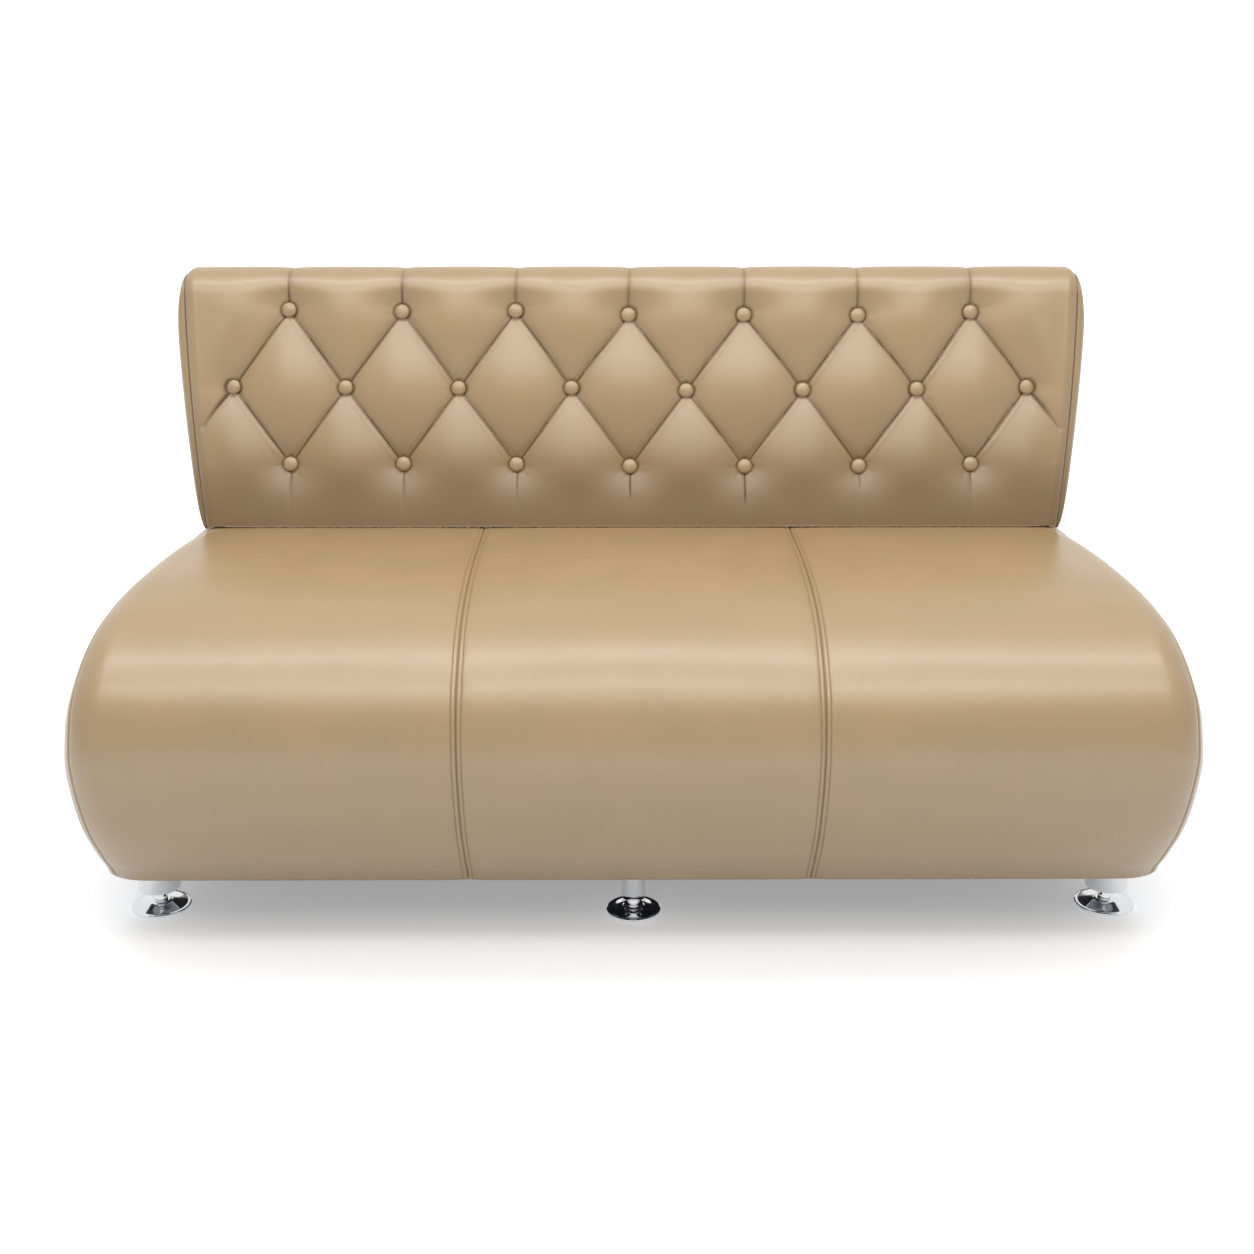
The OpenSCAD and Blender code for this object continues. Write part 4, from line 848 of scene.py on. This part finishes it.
def drawnUp(name, profile, finish, sides, closed, angle):
    # a round piece, drawn up ring by ring: a circle is added, then extruded and resized along its profile (mm)
    deselectAll()
    radius, height = profile[0]
    bpy.ops.mesh.primitive_circle_add(vertices=sides, radius=radius * mm, fill_type="NOTHING" if closed else "NGON",
                                      location=(0, 0, height * mm))
    piece = bpy.context.object
    piece.name = name
    bpy.ops.object.transform_apply(location=True)
    bpy.ops.object.mode_set(mode="EDIT")
    bpy.ops.mesh.select_all(action="SELECT")
    for nextRadius, nextHeight in profile[1:]:
        bpy.ops.mesh.extrude_region_move(TRANSFORM_OT_translate={"value": (0, 0, (nextHeight - height) * mm)})
        factor = nextRadius / radius
        bpy.ops.transform.resize(value=(factor, factor, 1), center_override=(0, 0, nextHeight * mm))
        radius, height = nextRadius, nextHeight
    bpy.ops.mesh.select_all(action="SELECT")
    if closed:      # the profile comes back to its first ring
        bpy.ops.mesh.remove_doubles(threshold=0.02 * mm)
    bpy.ops.mesh.normals_make_consistent(inside=False)
    bpy.ops.object.mode_set(mode="OBJECT")
    piece.data.materials.append(finish)
    bpy.ops.object.shade_smooth_by_angle(angle=math.radians(angle))
    return piece


def copied(piece, name, shift):
    twin = piece.copy()
    twin.data = piece.data.copy()
    twin.name = name
    bpy.context.scene.collection.objects.link(twin)
    deselectAll()
    twin.select_set(True)
    bpy.context.view_layer.objects.active = twin
    twin.location = shift
    bpy.ops.object.transform_apply(location=True)
    return twin


print("covered buttons")
button = dict(diameter=23.4, rise=5.6, low=18.5, askew=0.04)    # mm; low is how deep its underside sits


def coveredButton():
    r = button["diameter"] / 2
    profile = [(r * 0.72, 0), (r * 0.93, 0.5), (r, 1.5), (r * 0.995, 2.4)]
    for a in np.radians((14, 28, 42, 55, 67, 78, 86)):
        profile.append((r * math.cos(a), 2.4 + button["rise"] * math.sin(a)))
    return drawnUp("coveredButton", profile, fauxLeather, 40, closed=False, angle=32)


pattern = coveredButton()
# painted shade round the foot of each button, where it meets the leather
rim = pattern.data.attributes.new("creaseShade", "FLOAT", "POINT")
for i, vertex in enumerate(pattern.data.vertices):
    fromAxis = math.hypot(vertex.co.x, vertex.co.y) / mm
    rim.data[i].value = min(0.95, max(0, (fromAxis - 10.2) / 1.8)) if vertex.co.z < 5 * mm else 0
for r, level in enumerate(("bottom", "middle", "top")):
    made = []
    for row, bx, bu, aside, up in buttonSpots:
        if row != r:
            continue
        twin = pattern.copy()
        twin.data = pattern.data.copy()
        bpy.context.scene.collection.objects.link(twin)
        u = bu + up
        spot = np.array((frontDepth + u * math.sin(lean) + button["low"] * math.cos(lean),
                         faceZ + u * math.cos(lean) - button["low"] * math.sin(lean)))
        twin.rotation_euler = (math.pi / 2 - lean + random.uniform(-0.75, 0.75) * button["askew"],
                               random.uniform(-1, 1) * button["askew"], 0)
        twin.location = ((bx + aside) * mm, spot[0] * mm + yShift, spot[1] * mm)
        made.append(twin)
    deselectAll()
    for twin in made:
        twin.select_set(True)
    bpy.context.view_layer.objects.active = made[0]
    bpy.ops.object.transform_apply(location=True, rotation=True)
    bpy.ops.object.join()
    row = bpy.context.object
    row.name = level + "Buttons"
    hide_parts("buttons_" + level + "_row")
    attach(row, "sofa")
bpy.data.objects.remove(pattern)


print("legs and feet")
leg = dict(cornerTube=58, centreTube=33, wall=1.5, flangeTop=84, flangeThick=4, cornerFlange=40, centreFlange=34,
           cornerEnd=30, centreEnd=22, cornerDisc=82, centreDisc=76, ball=9, ballHeight=12.75, stud=10, pitch=1.5,
           studTop=66)      # mm
feet = {       # where each foot stands, in mm
    "front_left": (-658.163, -158.535), "front_right": (658.163, -158.535),
    "rear_left": (-627.698, 198.465), "rear_right": (627.698, 198.465),
    "front_centre": (0, -175.535), "rear_centre": (0, 198.465)}


def legTube(name, tube, flange, end):
    # outer wall up, over the flange; the bore comes back down inside
    r, t, top = tube / 2, leg["wall"], leg["flangeTop"]
    low = top - leg["flangeThick"]
    profile = [(r - t, end + 0.4), (r - t + 0.4, end), (r - 0.5, end), (r - 0.15, end + 0.15), (r, end + 0.5),
               (r, low - 2.0), (r + 0.6, low - 0.6), (r + 2.0, low), (flange - 0.6, low), (flange, low + 0.6),
               (flange, top - 0.4), (flange - 0.4, top), (r - t + 0.2, top), (r - t, top - 1.0), (r - t, end + 0.4)]
    return drawnUp(name, profile, chrome, 128, closed=True, angle=35)


def footDisc(name, diameter):
    r = diameter / 2
    slope = np.linspace(0, 1, 7)[1:]
    profile = [(r - 2.2, 0), (r - 0.7, 0.25), (r, 1.3), (r, 2.6), (r - 0.5, 3.7), (r - 1.6, 4.4), (r - 2.9, 4.4),
               (r - 3.9, 3.9)]
    profile += [(r - 3.9 + (24 - r + 3.9) * t, 3.9 + 2.3 * t ** 1.6) for t in slope]
    profile += [(20.5, 7.4), (17.5, 8.3), (15.2, 8.6), (14.3, 9.6), (13.2, 10.7), (12.4, 10.75), (9.6, 10.6)]
    return drawnUp(name, profile, chrome, 128, closed=False, angle=32)


def footStud(name, neckTop):
    b, z = leg["ball"], leg["ballHeight"]
    profile = [(b * math.cos(a), z + b * math.sin(a)) for a in np.radians(np.arange(-80, 46, 9))]
    profile += [(6.6, z + 7.4), (7.4, z + 8.4), (8, z + 9.4), (8, neckTop - 0.6), (7.4, neckTop), (5, neckTop)]
    r, pitch = leg["stud"] / 2, leg["pitch"]
    z0 = neckTop
    while z0 + pitch < leg["studTop"]:
        profile += [(r, z0 + 0.2), (r - 0.75, z0 + pitch / 2), (r, z0 + pitch - 0.2)]
        z0 += pitch
    profile += [(r - 0.6, leg["studTop"]), (0.2, leg["studTop"])]
    return drawnUp(name, profile, chrome, 64, closed=False, angle=32)


cornerTube = legTube("cornerTube", leg["cornerTube"], leg["cornerFlange"], leg["cornerEnd"])
centreTube = legTube("centreTube", leg["centreTube"], leg["centreFlange"], leg["centreEnd"])
cornerDisc, centreDisc = footDisc("cornerDisc", leg["cornerDisc"]), footDisc("centreDisc", leg["centreDisc"])
cornerStud, centreStud = footStud("cornerStud", leg["cornerEnd"] - 2), footStud("centreStud", leg["centreEnd"] + 2)
cornerTubes, centreTubes = [], []
for foot, (x, y) in feet.items():
    centre = foot.endswith("centre")
    plain = foot.title().replace("_", "")
    shift = (x * mm, y * mm, 0)
    disc = copied(centreDisc if centre else cornerDisc, "disc" + plain, shift)
    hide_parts(foot + "_disc")
    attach(disc, foot + "_foot")
    stud = copied(centreStud if centre else cornerStud, "stud" + plain, shift)
    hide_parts(foot + "_stud")
    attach(stud, foot + "_screw")
    tube = copied(centreTube if centre else cornerTube, "tube" + plain, shift)
    (centreTubes if centre else cornerTubes).append(tube)
for parts, name, node in ((cornerTubes, "cornerLegTubes", "corner_legs"),
                          (centreTubes, "centreLegTubes", "centre_legs")):
    deselectAll()
    for part in parts:
        part.select_set(True)
    bpy.context.view_layer.objects.active = parts[0]
    bpy.ops.object.join()
    joined = bpy.context.object
    joined.name = name
    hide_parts(node)
    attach(joined, "sofa")
for part in (cornerTube, centreTube, cornerDisc, centreDisc, cornerStud, centreStud):
    bpy.data.objects.remove(part)


print("dust cloth and webbing")


def flatSheet(name, pointAt, cells, thick, finish):
    # pointAt gives a point in metres on the sheet's middle for a share across and a share along
    points, faces = [], []
    across, along = cells
    for side in (-0.5, 0.5):
        for i in range(across + 1):
            for j in range(along + 1):
                p = pointAt(i / across, j / along)
                points.append((p[0], p[1], p[2] + side * thick))
    n, w = (across + 1) * (along + 1), along + 1
    for i in range(across):
        for j in range(along):
            a = i * w + j
            faces.append((a, a + 1, a + w + 1, a + w))
            faces.append((n + a, n + a + w, n + a + w + 1, n + a + 1))
    rim = [i * w for i in range(across)] + [across * w + j for j in range(along)] \
        + [i * w + along for i in range(across, 0, -1)] + [j for j in range(along, 0, -1)]
    for k, a in enumerate(rim):
        b = rim[(k + 1) % len(rim)]
        faces.append((a, b, n + b, n + a))
    return makeMesh(name, points, faces, finish)


dust = dict(inset=24, corner=38, wave=0.9, waveFrom=60, lift=0.8, thick=0.7)      # mm
dustLow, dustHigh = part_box("dust_cover")


def dustHalf(y):
    # the cloth follows the seat's footprint, which narrows to the rear
    return (sideHalf((y - yShift) / mm) - dust["inset"]) * mm


def dustPoint(s, t):
    half, corner = dustHalf(dustLow.y + (dustHigh.y - dustLow.y) * t), dust["corner"] * mm
    x = (2 * s - 1) * half
    fromSide = half - abs(x)
    pull = corner - math.sqrt(max(0, corner ** 2 - max(0, corner - fromSide) ** 2))
    low, high = dustLow.y + pull, dustHigh.y - pull
    y = low + (high - low) * t
    inner = min(1, fromSide / (dust["waveFrom"] * mm)) * min(1, min(t, 1 - t) * 8)
    wave = dust["wave"] * mm * inner * (math.sin(x * 41 + y * 9) * math.sin(y * 23 + 1.1) - 0.4)
    return (x, y, dustLow.z + dust["lift"] * mm + wave)


dustSheet = flatSheet("dustCloth", dustPoint, (120, 44), dust["thick"] * mm, spunbond)
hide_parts("dust_cover")
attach(dustSheet, "sofa")

strapWidth, strapThick, strapSag = 60 * mm, 1.6 * mm, 3.0 * mm
bayEdges = [(-582, -237), (-219, 219), (237, 582)]      # mm, between the ribs
webLow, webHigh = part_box("webbing")
number = 0
for low, high in bayEdges:
    for k in (1, 2):
        number += 1
        middle = (low + (high - low) * k / 3) * mm

        def strapPoint(s, t):
            y = webLow.y + (webHigh.y - webLow.y) * t
            sag = strapSag * math.sin(math.pi * t) ** 2
            return (middle + (s - 0.5) * strapWidth, y, (webLow.z + webHigh.z) / 2 - sag)

        strap = flatSheet("webStrap%d" % number, strapPoint, (6, 40), strapThick, webTape)
        if number == 1:
            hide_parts("webbing")
        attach(strap, "sofa")


# Studio: four lamps, a white room and a pale floor

print("studio")
lamps = dict(                                     # place, target, size, energy, colour
    overheadStrip=((0, -0.22, 2.45), (0, -0.2, 0.4), (3.4, 0.26), 17, "#ffffff"),     # the seat's bright shoulder
    rollStrip=((0, -1.3, 2.6), (0, 0.1, 0.75), (3.4, 0.42), 16, "#ffffff"),           # the backrest's bright roll
    ceilingSoftbox=((0, -0.5, 2.7), (0, -0.3, 0.3), (3.6, 2.0), 12, "#ffffff"),       # softens the shade
    floorSoftbox=((0, -1.5, 1.9), (0, -1.2, 0), (2.6, 0.9), 9, "#fff3e6"))            # bounces up under the nose
studio = dict(
    horizon=0.02, zenith=0.78,                    # the room's own light, low and high
    floorColour="#eff2f6", floorLift=0.33, floorWhite=0.85,      # glow for the camera: beside the sofa, and far out
    liftFrom=0.36, whiteFrom=1.0, floorSquash=0.62)
view = dict(lens=48.8, sensor=36, place=(-0.019, -2.2915, 1.118), tilt=71.6, turn=-0.27)


for name, (place, target, size, energy, colour) in lamps.items():
    lamp = bpy.data.lights.new(name, "AREA")
    lamp.shape, lamp.size, lamp.size_y, lamp.energy = "RECTANGLE", size[0], size[1], energy
    lamp.color = linear(colour)[:3]
    holder = bpy.data.objects.new(name, lamp)
    bpy.context.scene.collection.objects.link(holder)
    holder.location = place
    holder.rotation_euler = (Vector(target) - Vector(place)).to_track_quat("-Z", "Y").to_euler()


def seenByLens(owner):
    # 1 for the camera and for what chrome mirrors, so that the white shows there and lights nothing
    rays = addNode(owner, "LightPath")
    seen = addNode(owner, "Math", {"operation": "MAXIMUM"},
                   {0: rays.outputs["Is Camera Ray"], 1: rays.outputs["Is Glossy Ray"]})
    return addNode(owner, "Math", {"operation": "MAXIMUM"},
                   {0: seen.outputs["Value"], 1: rays.outputs["Is Transmission Ray"]}).outputs["Value"]


world = bpy.data.worlds.new("whiteStudio")
bpy.context.scene.world = world
world.use_nodes = True
background = world.node_tree.nodes["Background"]
background.inputs["Color"].default_value = (1, 1, 1, 1)
direction = addNode(world, "TexCoord")
height = addNode(world, "SeparateXYZ", None, {"Vector": direction.outputs["Generated"]})
ceiling = addNode(world, "MapRange", None,
                  {"Value": height.outputs["Z"], "To Min": studio["horizon"], "To Max": studio["zenith"]})
level = addNode(world, "Math", {"operation": "MAXIMUM"}, {0: seenByLens(world), 1: ceiling.outputs["Result"]})
plug(world, level.outputs["Value"], background.inputs["Strength"])

deselectAll()
bpy.ops.mesh.primitive_plane_add(size=16, location=(0, 0, 0))
floor = bpy.context.object
floor.name = "studioFloor"
floorMaterial, shader, place = newMaterial("whiteStudioFloor", studio["floorColour"], 0.9)
shader.inputs["Specular IOR Level"].default_value = 0.1
outward = addNode(floorMaterial, "Mapping", None, {"Vector": place, "Scale": (studio["floorSquash"], 1.0, 1.0)})
distance = addNode(floorMaterial, "VectorMath", {"operation": "LENGTH"}, {0: outward.outputs["Vector"]})
# painted glow on the floor, for the camera and for reflections only: weaker beside the sofa, where its shadow falls,
# and near white far out
floorGlow = addNode(floorMaterial, "MapRange", {"interpolation_type": "SMOOTHSTEP"},
                {"Value": distance.outputs["Value"], "From Min": studio["liftFrom"], "From Max": studio["whiteFrom"],
                 "To Min": studio["floorLift"], "To Max": studio["floorWhite"]})
lift = addNode(floorMaterial, "Math", {"operation": "MULTIPLY"},
               {0: floorGlow.outputs["Result"], 1: seenByLens(floorMaterial)})
shader.inputs["Emission Color"].default_value = (1, 1, 1, 1)
plug(floorMaterial, lift.outputs["Value"], shader.inputs["Emission Strength"])
floor.data.materials.append(floorMaterial)

camera = bpy.data.objects.new("camera", bpy.data.cameras.new("camera"))
bpy.context.scene.collection.objects.link(camera)
camera.data.lens, camera.data.sensor_width = view["lens"], view["sensor"]
camera.location = view["place"]
camera.rotation_euler = (math.radians(view["tilt"]), 0, math.radians(view["turn"]))
bpy.context.scene.camera = camera
bpy.context.scene.view_settings.view_transform = "Standard"

print("done")
